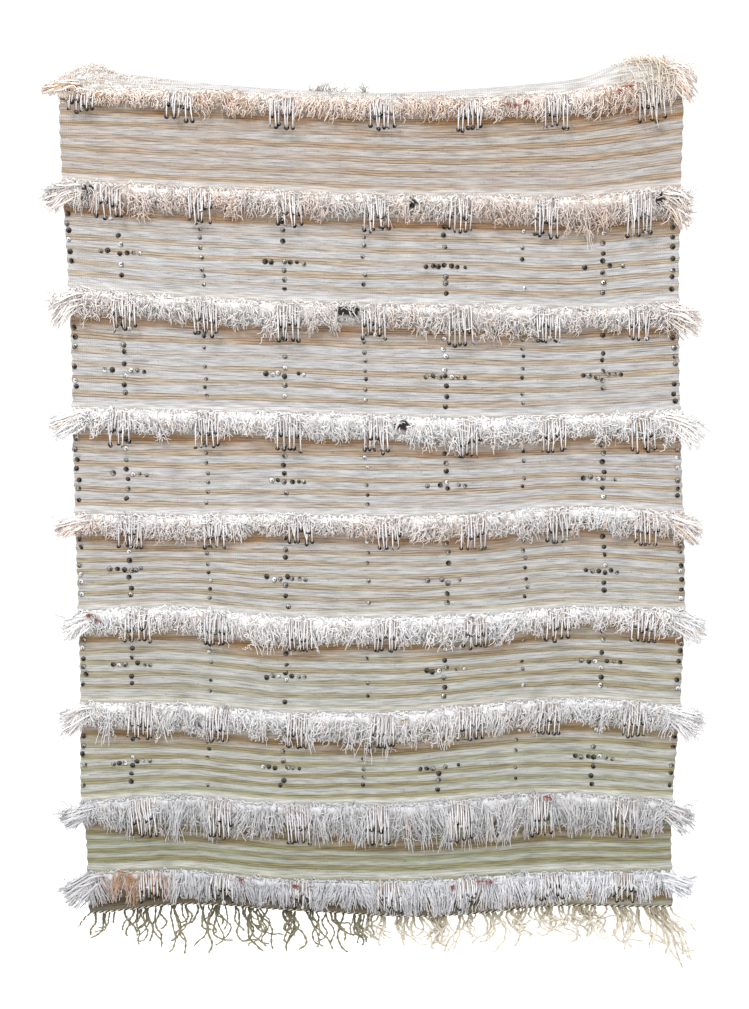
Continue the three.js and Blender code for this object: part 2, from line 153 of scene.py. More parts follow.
class Wire:
    """An output socket on which Python's operators make Math nodes."""

    def __init__(self, tree, socket):
        self.tree = tree
        self.socket = socket

    def math(self, operation, *terms):
        sockets = dict(enumerate(terms))
        return add_node(self.tree, "ShaderNodeMath", {"operation": operation}, sockets)

    def __add__(self, other):
        return self.math("ADD", self, other)

    def __sub__(self, other):
        return self.math("SUBTRACT", self, other)

    def __rsub__(self, other):
        return self.math("SUBTRACT", other, self)

    def __mul__(self, other):
        return self.math("MULTIPLY", self, other)

    __radd__ = __add__
    __rmul__ = __mul__

    def fract(self):
        return self.math("FRACT", self)

    def sine(self):
        return self.math("SINE", self)

    def cosine(self):
        return self.math("COSINE", self)


def add_node(tree, kind, settings, values, output=0):
    """Adds a node: settings first, then a value or a wire for each named or numbered socket."""
    made = tree.nodes.new(kind)
    for name, setting in settings.items():
        if name == "stops":
            ramp = made.color_ramp
            for place, colour in setting[1:-1]:
                ramp.elements.new(place).color = (*colour, 1)
            ramp.elements[0].color = (*setting[0][1], 1)
            ramp.elements[-1].color = (*setting[-1][1], 1)
        else:
            setattr(made, name, setting)
    for name, value in values.items():
        if isinstance(value, Wire):
            tree.links.new(value.socket, made.inputs[name])
        else:
            made.inputs[name].default_value = value
    return Wire(tree, made.outputs[output])


print("wires and nodes ready")

# %% [markdown]
# A few nodes are wanted again and again, so each gets a short name here. Colours go through
# Mix nodes, because a Math node would turn them grey. A colour is picked on a screen, and has
# to be turned into the light that Blender works with.

# %% Colours and materials


def srgb(red, green, blue):
    """A colour picked on a screen, from 0 to 255, as light."""
    screen = np.array([red, green, blue]) / 255
    return np.where(screen > 0.04045, ((screen + 0.055) / 1.055) ** 2.4, screen / 12.92)


def mix(mask, first, second, blend="MIX"):
    """The first colour where mask is 0, and the second, a wire or a plain colour, where it is 1."""
    if not isinstance(second, Wire):
        second = (*second, 1.0)
    settings = {"data_type": "RGBA", "blend_type": blend}
    return add_node(mask.tree, "ShaderNodeMix", settings, {0: mask, 6: first, 7: second}, output=2)


def ramp(wire, stops):
    """A colour read from stops at the wire's value."""
    return add_node(wire.tree, "ShaderNodeValToRGB", {"stops": stops}, {"Fac": wire})


def between(wire, low, high):
    """0 where the wire is at low, 1 where it is at high, and even in between."""
    return add_node(wire.tree, "ShaderNodeMapRange", {}, {0: wire, 1: low, 2: high})


def stored(tree, name, output=2):
    """What is stored on the mesh's points under a name: a number, or at output 0 a colour."""
    return add_node(tree, "ShaderNodeAttribute", {"attribute_name": name}, {}, output)


def new_material(name):
    """An empty node material and its tree."""
    material = bpy.data.materials.new(name)
    material.use_nodes = True
    material.node_tree.nodes.clear()
    return material, material.node_tree


def principled(tree, constants, wires):
    """The surface: constants are set on the shader's own sockets, and wires feed what varies."""
    shader = add_node(tree, "ShaderNodeBsdfPrincipled", {}, {**constants, **wires})
    output = tree.nodes.new("ShaderNodeOutputMaterial")
    tree.links.new(shader.socket, output.inputs["Surface"])


def floor_material():
    material, tree = new_material("pale_floor")
    principled(tree, {"Base Color": (0.94, 0.93, 0.92, 1), "Roughness": 0.9}, {})
    return material


floor.data.materials.append(floor_material())
print("white as light:", srgb(255, 255, 255))

# %% [markdown]
# The ground is a weft-faced weave: pale slubby stripes with one faint line alternate with tan
# ones that hold three thin brown lines. A picture of it would blur close up, so one stripe is
# a colour ramp that repeats. In places the brown lines fade, so a second ramp leaves them out.

# %% Stripes of the weave
PALE_WEFT = srgb(203, 203, 205)
TAN_WEFT = srgb(197, 180, 158)
FAINT_WEFT = srgb(188, 174, 156)
BROWN_WEFT = srgb(104, 80, 60)
# The plain strips above the rows and over the crown, brightened as painted light
PLAIN_LIT_WEFT = srgb(228, 226, 225)
# An olive tint of painted shade in the lower bands
OLIVE_SHADE_CAST = srgb(209, 219, 185)
# Painted shade under the tips of the pile, with some browning
BROWN_SHADE_CAST = srgb(214, 180, 142)
# Painted shade along the lower hem, under the last row
HEM_SHADE_CAST = srgb(152, 138, 100)
# Painted shade in the low spots of the slubby yarn, with some random patchy tone
HOLLOW_SHADE_CAST = srgb(162, 158, 150)

LINED_STOPS = [
    (0.00, PALE_WEFT),
    (0.15, PALE_WEFT),
    (0.20, FAINT_WEFT),
    (0.25, PALE_WEFT),
    (0.44, PALE_WEFT),
    (0.49, TAN_WEFT),
    (0.52, BROWN_WEFT),
    (0.56, TAN_WEFT),
    (0.67, TAN_WEFT),
    (0.71, BROWN_WEFT),
    (0.75, TAN_WEFT),
    (0.85, TAN_WEFT),
    (0.89, BROWN_WEFT),
    (0.94, PALE_WEFT),
    (1.00, PALE_WEFT),
]
FADED_STOPS = [
    (0.00, PALE_WEFT),
    (0.44, PALE_WEFT),
    (0.54, TAN_WEFT),
    (0.88, TAN_WEFT),
    (1.00, PALE_WEFT),
]
print("brown lines in a stripe:", [place for place, weft in LINED_STOPS if weft is BROWN_WEFT])

# %% [markdown]
# Handspun weft is thick and thin, so every noise on it is drawn out along the yarn. The
# cloth's UV map holds real places on the weave in metres, so stripes and noise follow every
# fold. Values stored on the mesh say how many stripes lie above a point, where the ground is
# plain and brightened as painted light, where painted shade with some browning lies under the
# pile, where painted shade darkens the hem, and how strong an olive tint of painted shade is,
# which shows mainly on the tan wool. The low spots of the slubby yarn get painted shade too.
# Each pick of weft is a ridge in the bump.

# %% Ground weave material
PICK = 0.0017
WARP_PITCH = 0.0042
# Each noise has so many spots to the metre across the blanket and along its warp, and a detail
WEFT_NOISES = {
    "slow_drift": (2.2, 9.0, 2.0),
    "quick_drift": (9.0, 70.0, 2.0),
    "slub": (24.0, 400.0, 4.0),
    "fibres": (220.0, 700.0, 2.0),
    "patches": (9.0, 30.0, 3.0),
    "faded": (13.0, 330.0, 2.0),
    "streaks": (14.0, 520.0, 2.0),
    "dots": (120.0, 240.0, 2.0),
    "missing": (1.6, 38.0, 2.0),
}
CLOTH_FINISH = {"Roughness": 0.92, "Specular IOR Level": 0.25, "Sheen Weight": 0.25, "Sheen Roughness": 0.6}


def weft_noise(across, along, across_scale, along_scale, detail):
    """A flat noise whose spots are drawn out along the weft."""
    scaled = {"X": across * across_scale, "Y": along * along_scale}
    place = add_node(across.tree, "ShaderNodeCombineXYZ", {}, scaled)
    values = {"Vector": place, "Scale": 1.0, "Detail": detail}
    return add_node(across.tree, "ShaderNodeTexNoise", {"noise_dimensions": "2D"}, values)


def weave_colour(tree, noise):
    """The stripes, then what wear, dirt, the uneven yarn, and painted light and shade do to them."""
    drift = noise["slow_drift"] * 0.5 + noise["quick_drift"] * 0.24
    phase = (stored(tree, "stripe") + drift).fract()
    plain = stored(tree, "plain")
    tan_share = 0.5 - ((phase - 0.22) * math.tau).cosine() * 0.5

    lined = between(noise["faded"], 0.30, 0.54)
    colour = mix(lined, ramp(phase, FADED_STOPS), ramp(phase, LINED_STOPS))
    colour = mix(between(noise["missing"], 0.48, 0.68) * 0.55, colour, PALE_WEFT)
    # Plain strips above the rows and the crown: no stripes, and brightened as painted light
    colour = mix(plain * (0.5 + 0.8 * noise["slub"]), colour, PLAIN_LIT_WEFT)
    threads = between(noise["streaks"], 0.57, 0.72) * 0.52 + between(noise["dots"], 0.70, 0.76) * 0.4
    colour = mix(threads * (1 - plain), colour, BROWN_WEFT)

    # Olive tint of painted shade, growing towards the hem
    olive = stored(tree, "olive") * (0.2 + 0.8 * tan_share) * (1 - 0.75 * plain)
    # Painted shade under each row's pile, with some browning
    browned = stored(tree, "browned") * (noise["patches"] * 1.9) * (0.8 + 0.2 * tan_share)
    # Painted shade where the bump is low, plus random patches of tone
    hollow_shade = between(noise["slub"], 0.62, 0.34) * 0.75 + (1 - noise["fibres"]) * 0.35
    hollow_shade = (hollow_shade + (1 - noise["patches"]) * 0.4) * 0.6
    colour = mix(olive, colour, OLIVE_SHADE_CAST, "MULTIPLY")
    colour = mix(browned, colour, BROWN_SHADE_CAST, "MULTIPLY")
    # Painted shade along the lower hem
    colour = mix(stored(tree, "soiled"), colour, HEM_SHADE_CAST, "MULTIPLY")
    return mix(hollow_shade, colour, HOLLOW_SHADE_CAST, "MULTIPLY")


def weave_bump(across, along, noise):
    """A ridge for each pick of weft, dented where it passes a warp, with uneven yarn."""
    picks = (along * (math.tau / PICK)).sine()
    warps = (across * (math.tau / WARP_PITCH)).sine()
    height = picks * 0.25 + picks * warps * 0.3
    height = height + noise["slub"] * 1.8 + noise["fibres"] * 0.8 + noise["streaks"] * 0.8
    values = {"Height": height, "Strength": 0.7, "Distance": 0.0012}
    return add_node(across.tree, "ShaderNodeBump", {}, values)


def weave_material():
    material, tree = new_material("ground_weave")
    place = add_node(tree, "ShaderNodeUVMap", {"uv_map": "weave"}, {})
    across = add_node(tree, "ShaderNodeSeparateXYZ", {}, {0: place})
    along = add_node(tree, "ShaderNodeSeparateXYZ", {}, {0: place}, output=1)
    noise = {name: weft_noise(across, along, *values) for name, values in WEFT_NOISES.items()}
    surface = {"Base Color": weave_colour(tree, noise), "Normal": weave_bump(across, along, noise)}
    principled(tree, CLOTH_FINISH, surface)
    return material


WEAVE = weave_material()
print("made", WEAVE.name)

# %% [markdown]
# All loose wool shares one recipe. Each strand carries its own dye as a colour on its points,
# so that thousands of strands can be one mesh and still differ, and the material only adds
# the fine twist of the yarn. The same idea colours the metal discs: most are tarnished nearly
# black, some are bright, and the tarnish gathers in patches. Their dye also carries painted
# highlights and shade.

# %% Yarn and metal materials
TWIST_SHADE = srgb(206, 198, 192)
TARNISH = srgb(90, 84, 76)
OBJECT_PLACE = 3


def noise_on_piece(tree, scale):
    """A fine noise fixed to the piece itself."""
    place = add_node(tree, "ShaderNodeTexCoord", {}, {}, output=OBJECT_PLACE)
    return add_node(tree, "ShaderNodeTexNoise", {}, {"Vector": place, "Scale": scale, "Detail": 3.0})


def yarn_material(name, twist_scale, bump_depth, sheen):
    """Wool dyed by the mesh, with a fine twist in its bump and a soft sheen."""
    material, tree = new_material(name)
    twist = noise_on_piece(tree, twist_scale)
    colour = mix((1 - twist) * 0.15, stored(tree, "dye", output=0), TWIST_SHADE, "MULTIPLY")
    bump = add_node(tree, "ShaderNodeBump", {}, {"Height": twist, "Strength": 0.6, "Distance": bump_depth})
    finish = {"Roughness": 0.9, "Specular IOR Level": 0.2, "Sheen Weight": sheen, "Sheen Roughness": 0.5}
    principled(tree, finish, {"Base Color": colour, "Normal": bump})
    return material


def disc_material():
    """Thin stamped metal with tarnish that gathers in patches."""
    material, tree = new_material("sewn_discs")
    tarnish = noise_on_piece(tree, 300.0)
    colour = mix(tarnish * 0.5, stored(tree, "dye", output=0), TARNISH, "MULTIPLY")
    principled(tree, {"Metallic": 1.0}, {"Base Color": colour, "Roughness": tarnish * 0.35 + 0.16})
    return material


PILE_WOOL = yarn_material("pile_wool", 420.0, 0.0008, 0.35)
TASSEL_YARN = yarn_material("tassel_yarn", 900.0, 0.0005, 0.25)
CORD_YARN = yarn_material("cord_yarn", 700.0, 0.0005, 0.15)
WARP_YARN = yarn_material("warp_yarn", 800.0, 0.0005, 0.2)
DISC_METAL = disc_material()
print("made", [m.name for m in (PILE_WOOL, TASSEL_YARN, CORD_YARN, WARP_YARN, DISC_METAL)])

# %% [markdown]
# Every piece of cloth work below starts from the same few tables, measured across the blanket
# at seven stations. A smooth curve is drawn through each table. Knitting the whole shape from
# such tables keeps it uneven in the same way as the real one, where no two rows are alike,
# and still lets a reader change one number and see what moves.

# %% Sizes and rows
HALF_WIDTH = 600
CLOTH = 3
FOLD_FRONT = 26
FOLD_DROP = 55
FOLD_BACK = 12

STATIONS = [-600, -400, -200, 0, 200, 400, 600]

# Each row's root line and length at the stations, how far it stands out past the edges, how
# far it is lifted there, where it is, and where its tassels hang
PILE_ROWS = [
    {
        "name": "pile_row_1",
        "root": [6, 2, -8, -15, -17, -6, 25],
        "drop": [20, 30, 38, 36, 38, 42, 50],
        "ends": [36, 26],
        "ends_up": 16,
        "tassels": [-555, -370, -172, 20, 190, 355, 535],
    },
    {
        "name": "pile_row_2",
        "root": [-167, -181, -192, -202, -204, -208, -190],
        "drop": [50, 46, 44, 48, 46, 56, 60],
        "ends": [40, 26],
        "tassels": [-508, -334, -160, 8, 172, 338, 520],
    },
    {
        "name": "pile_row_3",
        "root": [-374, -394, -405, -412, -416, -425, -415],
        "drop": [60, 42, 62, 44, 60, 40, 58],
        "ends": [42, 44],
        "tassels": [-492, -332, -168, -2, 170, 341, 520],
    },
    {
        "name": "pile_row_4",
        "root": [-613, -619, -624, -632, -638, -635, -627],
        "drop": [47, 45, 53, 52, 68, 52, 64],
        "ends": [52, 46],
        "tassels": [-505, -332, -172, 0, 180, 351, 523],
    },
    {
        "name": "pile_row_5",
        "root": [-823, -829, -827, -833, -830, -818, -832],
        "drop": [38, 56, 34, 42, 50, 46, 52],
        "ends": [42, 36],
        "tassels": [-490, -320, -155, 18, 186, 353, 525],
    },
    {
        "name": "pile_row_6",
        "root": [-1021, -1016, -1034, -1039, -1035, -1023, -1028],
        "drop": [50, 53, 65, 50, 64, 40, 56],
        "ends": [36, 46],
        "tassels": [-482, -325, -158, 10, 185, 350, 520],
    },
    {
        "name": "pile_row_7",
        "root": [-1210, -1216, -1230, -1234, -1222, -1213, -1224],
        "drop": [56, 66, 58, 74, 62, 50, 58],
        "ends": [46, 54],
        "tassels": [-478, -318, -162, 8, 180, 342, 510],
    },
    {
        "name": "pile_row_8",
        "root": [-1420, -1410, -1420, -1425, -1417, -1412, -1422],
        "drop": [47, 80, 62, 80, 84, 74, 62],
        "ends": [50, 48],
        "tassels": [-478, -315, -162, 2, 170, 335, 505],
    },
    {
        "name": "pile_row_9",
        "root": [-1569, -1568, -1580, -1587, -1585, -1579, -1569],
        "drop": [52, 58, 58, 64, 68, 60, 46],
        "ends": [52, 40],
        "tassels": [-472, -322, -165, 20, 175, 355, 500],
    },
]
print("rows:", len(PILE_ROWS), "tassels:", sum(len(row["tassels"]) for row in PILE_ROWS))

# %% [markdown]
# The outline of the cloth has tables of its own: the hem at the same seven stations, and the
# crown, the turn-over behind and both edges at the places where their shape changes. The crown
# sags between two raised corners, as it does over a slack line.

# %% Hem, crown, turn-over and edges
HEM = [-1657, -1640, -1643, -1659, -1661, -1649, -1645]

CROWN = {
    "x": [-600, -567, -534, -505, -430, -240, 0, 150, 360, 420, 460, 500, 548, 600],
    "z": [38, 52, 56, 45, 33, 13, 0, 3, 18, 28, 44, 54, 54, 40],
}
TURN_OVER = {
    "x": [-600, -540, -470, -400, -310, -200, 200, 320, 400, 470, 530, 600],
    "length": [10, 13, 25, 40, 54, 62, 64, 56, 43, 28, 17, 12],
}
EDGES = {
    "z": [-1660, -1480, -1400, -1210, -1010, -900, -680, -460, -220, -40, 60],
    "left": [-603, -606, -613, -607, -605, -605, -604, -601, -606, -610, -602],
    "right": [605, 599, 602, 614, 620, 617, 607, 600, 599, 603, 600],
}
print("lowest and highest place of the crown:", min(CROWN["z"]), max(CROWN["z"]))

# %% [markdown]
# A curve through a table has to pass through every value without swinging far past it, or the
# rows would show waves that the blanket doesn't have. A cubic whose slope at each value comes
# from its two neighbours stays close, and it can read whole arrays of places at once.

# %% Smooth curves through the tables


def through(places, values, at):
    """A smooth curve through values given at rising places, read at each of many places."""
    places = np.asarray(places, float)
    values = np.asarray(values, float)
    at = np.clip(at, places[0], places[-1])
    k = np.clip(np.searchsorted(places, at, side="right") - 1, 0, len(places) - 2)
    span = places[k + 1] - places[k]
    t = (at - places[k]) / span
    slopes = np.empty(len(places))
    slopes[1:-1] = (values[2:] - values[:-2]) / (places[2:] - places[:-2])
    slopes[0] = (values[1] - values[0]) / (places[1] - places[0])
    slopes[-1] = (values[-1] - values[-2]) / (places[-1] - places[-2])
    return (
        (2 * t**3 - 3 * t**2 + 1) * values[k]
        + (t**3 - 2 * t**2 + t) * slopes[k] * span
        + (3 * t**2 - 2 * t**3) * values[k + 1]
        + (t**3 - t**2) * slopes[k + 1] * span
    )


def across(values, x):
    return through(STATIONS, values, x)


def crown(x):
    return through(CROWN["x"], CROWN["z"], x) + CLOTH / 2


def soft_step(t):
    t = np.clip(t, 0, 1)
    return t * t * (3 - 2 * t)


def unit(v):
    return v / np.maximum(np.linalg.norm(v, axis=-1, keepdims=True), 1e-9)


print("crown at both corners:", crown(np.array([-600.0, 600.0])))

# %% [markdown]
# Hanging cloth is never flat. Broad upright folds grow from nothing at the top to their full
# depth at the hem, each row of knots stands forward like a low shelf, and the wool buckles in
# soft creases. Each crease is a trough or a ridge with its own place, length, width, depth and
# turn, put where the wool is seen to buckle.

# %% Folds, shelves and creases
ROOTS_DOWN = [14, 193, 405, 627, 828, 1028, 1221, 1418, 1577]
HEM_DOWN = 1651

SHELF = 35
SHELF_PUSH = 9
SHELF_PUSH_BELOW = 4
FOLDS = {
    "start": 100,
    "full": 1660,
    "x": [-600, -420, -180, 60, 330, 560],
    "half_width": [80, 105, 115, 115, 125, 75],
    "push": [10, 16, -14, -10, 17, -9],
}
CREASES = {
    "x": [470, 380, -250, -215, 150, 330, -420, 520, -60, 250],
    "down": [105, 130, 935, 1115, 950, 1130, 1330, 1320, 1330, 1500],
    "long": [110, 90, 60, 80, 70, 90, 110, 90, 80, 90],
    "wide": [16, 14, 26, 24, 30, 28, 30, 26, 34, 30],
    "push": [3, -2.5, 6, 5, -5, 5, 4, -4, -5, 4],
    "turn": [12, 16, 75, 80, 95, 85, 92, 88, 90, 85],
}


def fold_push(x, z):
    """How far the upright folds push the cloth away from the front."""
    grown = soft_step((-z - FOLDS["start"]) / (FOLDS["full"] - FOLDS["start"]))
    push = np.zeros_like(x)
    for centre, width, depth in zip(FOLDS["x"], FOLDS["half_width"], FOLDS["push"]):
        push += depth * np.exp(-(((x - centre) / width) ** 2))
    return grown * push


def crease_push(x, down):
    """How far the creases push the cloth forward."""
    push = np.zeros_like(x)
    for crease_x, crease_down, long, wide, depth, turn in zip(*CREASES.values()):
        cosine, sine = math.cos(math.radians(turn)), math.sin(math.radians(turn))
        run = (x - crease_x) * cosine + (down - crease_down) * sine
        side = (down - crease_down) * cosine - (x - crease_x) * sine
        push += depth * np.exp(-((side / wide) ** 2) - (run / long) ** 4)
    return push


def shelf_push(down):
    """How far the knots of each row push the ground forward."""
    push = np.zeros_like(down)
    for k in range(1, len(PILE_ROWS)):
        below = down - ROOTS_DOWN[k]
        next_root = ROOTS_DOWN[k + 1] if k + 1 < len(ROOTS_DOWN) else HEM_DOWN + SHELF
        places = [0, np.mean(PILE_ROWS[k]["drop"]), next_root - SHELF - ROOTS_DOWN[k]]
        rise = SHELF_PUSH * soft_step((below + SHELF) / SHELF)
        under = np.interp(below, places, [SHELF_PUSH, SHELF_PUSH_BELOW, 0])
        push = np.where((below > -SHELF) & (below <= 0), rise, push)
        push = np.where((below > 0) & (down < next_root - SHELF), under, push)
    return push


print("creases:", len(CREASES["x"]), "upright folds:", len(FOLDS["x"]))

# %% [markdown]
# A place on the blanket is best given as the weaver sees it: how far across, and how far down
# the warp. The knots of a row, a stripe and a sewn disc all keep their warp place when the
# cloth sags. So the front is one function from (across, down) to a point in space, and its
# normal comes from neighbouring points.

# %% The hanging front as a function
NEARBY = 4


def edge_fit(x, z):
    """Real x of a nominal place across, between the two uneven edges."""
    left = through(EDGES["z"], EDGES["left"], z)
    right = through(EDGES["z"], EDGES["right"], z)
    return left + (right - left) * (x + HALF_WIDTH) / (2 * HALF_WIDTH)


def front_height(x, down):
    """Height of a place on the front, read between the root lines and the hem."""
    knots = np.array([*ROOTS_DOWN, HEM_DOWN], float)
    heights = np.array([across(row["root"], x) for row in PILE_ROWS] + [across(HEM, x)])
    k = np.clip(np.searchsorted(knots, down, side="right") - 1, 0, len(knots) - 2)
    t = (down - knots[k]) / (knots[k + 1] - knots[k])
    high = np.take_along_axis(heights, k[None], 0)[0]
    low = np.take_along_axis(heights, k[None] + 1, 0)[0]
    return high + (low - high) * t


def front(x, down):
    """The cloth's middle surface on the hanging front."""
    x = np.asarray(x, float)
    down = np.asarray(down, float)
    z = front_height(x, down)
    below = np.clip((crown(x) - z) / FOLD_DROP, 0, 1)
    lean = np.sqrt(1 - (1 - below) ** 2)
    y = -FOLD_FRONT * lean + fold_push(x, z) - shelf_push(down) - crease_push(x, down)
    return np.stack([edge_fit(x, z), y, z], -1)


def on_front(x, down, off):
    """A point that stands off the decorated face, and the way out of that face."""
    x, down = np.broadcast_arrays(np.asarray(x, float), np.asarray(down, float))
    rightward = front(x + NEARBY, down) - front(x - NEARBY, down)
    upward = front(x, down - NEARBY) - front(x, down + NEARBY)
    out = unit(np.cross(rightward, upward))
    off = np.asarray(off, float)
    return front(x, down) + out * (CLOTH / 2 + off)[..., None], out


print("front at the middle of row 5:", on_front(0.0, 828.0, 0.0)[0].round(1))

# %% [markdown]
# Two helpers turn arrays into meshes. The first makes a piece from its part: points, faces and
# a dye for each point. The second sweeps a small polygon along many paths at once and closes
# both ends, which gives every yarn and cord on the blanket. The sides of a yarn are carried
# along its path step by step, so that it doesn't twist where it bends.

# %% Mesh helpers


def make_piece(name, part, material, stands_for=None):
    """A smooth mesh object from a part in millimetres. It can stand for a solid."""
    points, faces, dyes = part
    mesh = bpy.data.meshes.new(name)
    mesh.from_pydata((np.asarray(points) * MM).tolist(), [], faces)
    if dyes is not None:
        colours = np.ones((len(points), 4), np.float32)
        colours[:, :3] = dyes
        mesh.attributes.new("dye", "FLOAT_COLOR", "POINT").data.foreach_set("color", colours.ravel())
    mesh.polygons.foreach_set("use_smooth", np.full(len(mesh.polygons), True))
    mesh.materials.append(material)
    mesh.validate()
    piece = bpy.data.objects.new(name, mesh)
    scene.collection.objects.link(piece)
    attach(piece, "root")
    if stands_for:
        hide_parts(stands_for)
    print(f"{name}: {sum(len(p.vertices) - 2 for p in mesh.polygons)} triangles")
    return piece


def swept(paths, radii, sides, flat=1.0):
    """Closed tubes along many paths of k points: radii is one for each point of each path."""
    paths = np.asarray(paths, float)
    count, steps = paths.shape[:2]
    radii = np.broadcast_to(radii, (count, steps))
    along = unit(np.gradient(paths, axis=1))
    start = np.where(np.abs(along[:, 0, :1]) < 0.8, [1.0, 0, 0], [0, 0, 1.0])
    side = np.empty_like(paths)
    side[:, 0] = unit(start - along[:, 0] * (start * along[:, 0]).sum(-1, keepdims=True))
    for k in range(1, steps):
        before = side[:, k - 1]
        side[:, k] = unit(before - along[:, k] * (before * along[:, k]).sum(-1, keepdims=True))
    deep = np.cross(along, side) * flat
    angles = np.arange(sides) * math.tau / sides
    ring = np.cos(angles)[:, None] * side[:, :, None] + np.sin(angles)[:, None] * deep[:, :, None]
    points = paths[:, :, None] + ring * radii[..., None, None]
    index = np.arange(count * steps * sides).reshape(count, steps, sides)
    turned = np.roll(index, -1, axis=2)
    walls = np.stack([index[:, :-1], turned[:, :-1], turned[:, 1:], index[:, 1:]], -1)
    caps = index[:, 0, ::-1].tolist() + index[:, -1].tolist()
    return points.reshape(-1, 3), walls.reshape(-1, 4).tolist() + caps


def yarns(made, flat=1.0, sides=3):
    """One part from the paths, radii and dyes of many yarns."""
    paths, radii, dyes = made
    points, faces = swept(paths, radii, sides, flat)
    return points, faces, np.repeat(dyes.reshape(-1, 3), sides, axis=0)


def gathered(parts):
    """Joins parts into one."""
    points, faces, dyes, shift = [], [], [], 0
    for part_points, part_faces, part_dyes in parts:
        points.append(part_points)
        faces.extend([[v + shift for v in face] for face in part_faces])
        dyes.append(np.broadcast_to(part_dyes, (len(part_points), 3)))
        shift += len(part_points)
    return np.concatenate(points), faces, np.concatenate(dyes)


print("one short yarn:", len(swept([[[0, 0, 0], [0, 0, -5]]], 1, 3)[1]), "faces")

# %% [markdown]
# The ground is one length of weaving. It could be a flat plane that falls over a line in a
# cloth simulation, but then its hem and rows would end up wherever they fell. Here its lines
# are worked out from the hem up the front, round the crown and down the short turn-over, each
# at its own place on the warp. Weft turns round the outer warp at each selvedge, so both edges
# are softly scalloped.

# %% Lines of the ground
SHEET_COLUMNS = 96
CLOSER_AT_EDGES = 0.92
FRONT_STEP = 9.5
SHOULDER = {"lines": 12, "step": 4}
BACK = {"lines": 12, "step": 5}
SCALLOP = {"reach": 1.6, "pitch": 25}


def shoulder(x, share):
    """From the first row's root, at share 0, to the crown, at share 1."""
    root_sine = 1 - (crown(x) - across(PILE_ROWS[0]["root"], x)) / FOLD_DROP
    first = np.arcsin(np.clip(root_sine, -1, 1))
    angle = first + (math.pi / 2 - first) * share
    z = crown(x) - FOLD_DROP * (1 - np.sin(angle))
    lean = np.cos(angle)
    return np.stack([edge_fit(x, z), -FOLD_FRONT * lean + fold_push(x, z), z], -1)


def behind(x, share):
    """From the crown, at share 0, down the back to the upper hem, at share 1."""
    length = through(TURN_OVER["x"], TURN_OVER["length"], x) * share
    turn = np.minimum(length / FOLD_BACK, math.pi / 2)
    z = crown(x) - FOLD_BACK * (1 - np.cos(turn)) - (length - turn * FOLD_BACK)
    return np.stack([edge_fit(x, z), FOLD_BACK * np.sin(turn), z], -1)


def sheet_lines(x):
    """The middle surface as lines across the cloth, and each line's place down the warp."""
    knots = [HEM_DOWN]
    for down in reversed(ROOTS_DOWN):
        steps = max(int((knots[-1] - down) / FRONT_STEP), 1)
        knots.extend(np.linspace(knots[-1], down, steps + 1)[1:])
    lines = [front(x, np.full_like(x, down)) for down in knots]
    for shape, stretch in ((shoulder, SHOULDER), (behind, BACK)):
        for k in range(1, stretch["lines"] + 1):
            lines.append(shape(x, k / stretch["lines"]))
            knots.append(knots[-1] - stretch["step"])
    return np.array(lines), np.array(knots)


sheet_x = HALF_WIDTH * np.sin(np.linspace(-1, 1, SHEET_COLUMNS + 1) * math.pi / 2 * CLOSER_AT_EDGES)
sheet_x *= HALF_WIDTH / sheet_x[-1]
sheet, sheet_down = sheet_lines(sheet_x)
scallop = SCALLOP["reach"] * np.sin(sheet_down * math.tau / SCALLOP["pitch"])
sheet[:, 0, 0] += scallop
sheet[:, -1, 0] -= scallop
out_of_face = unit(np.cross(np.gradient(sheet, axis=1), np.gradient(sheet, axis=0)))
lines, columns = sheet.shape[:2]
print("lines:", lines, "columns:", columns)

# %% [markdown]
# What the weave's material needs to know about a place is stored on the cloth as masks. The
# count of stripes runs evenly from each row of pile to the next. Painted shade with some
# browning lies on the ground under the tips of the pile, painted shade darkens the hem on its
# left, and an olive tint of painted shade grows downwards. The strip above each row and the
# crown are plain and brightened as painted light. The back is given the same masks, most of
# them weaker.

# %% Masks of the ground
# How many stripes are woven above the first row, in each band between rows, and below the last
STRIPES = [4.7, 7.6, 8.3, 7.8, 7.9, 8.7, 7.8, 8.2, 7.6, 3.6]
ABOVE_ROWS = -100
# Where the olive tint of painted shade grows downwards, and how strong it is
OLIVE_SHADE_GROWS = {"down": [820, 1040, 1230, 1380, 1480], "strength": [0, 0.4, 0.75, 0.95, 1.8]}
ON_BACK = {"stripe": 1, "olive": 1, "plain": 0.5, "browned": 0.15, "soiled": 0.5}


def plain_and_lit_mask(down):
    """1 in the strip above each row, and a little less over the crown: plain weave, brightened as painted
    light.
    """
    mask = 0.8 * soft_step(1 - down / 14)
    for root in ROOTS_DOWN:
        inside = soft_step((down - root + 15) / 8 + 0.5) - soft_step((down - root) / 8 + 0.5)
        mask = np.maximum(mask, inside)
    return mask


def browned_and_shaded_mask(x, down):
    """Painted shade with some browning: 1 where the tips of each row's pile lie, and a third of that in the
    top band.
    """
    mask = 0.35 * soft_step((down - 10) / 30) * (1 - soft_step((down - 150) / 120))
    for root, row in zip(ROOTS_DOWN, PILE_ROWS):
        past = down - root - across(row["drop"], x)
        mask = np.maximum(mask, soft_step(past / 16 + 1.2) - soft_step(past / 20 - 0.4))
    return mask


def hem_shade_mask(x, down):
    """Painted shade: 1 along the lower hem on the left, fading to the right, and faint in the last bands.
    """
    along_hem = soft_step((down - 1606) / 24) * (1 - 0.9 * soft_step((x - 50) / 400))
    return np.maximum(along_hem, 0.1 * soft_step((down - 1410) / 60))


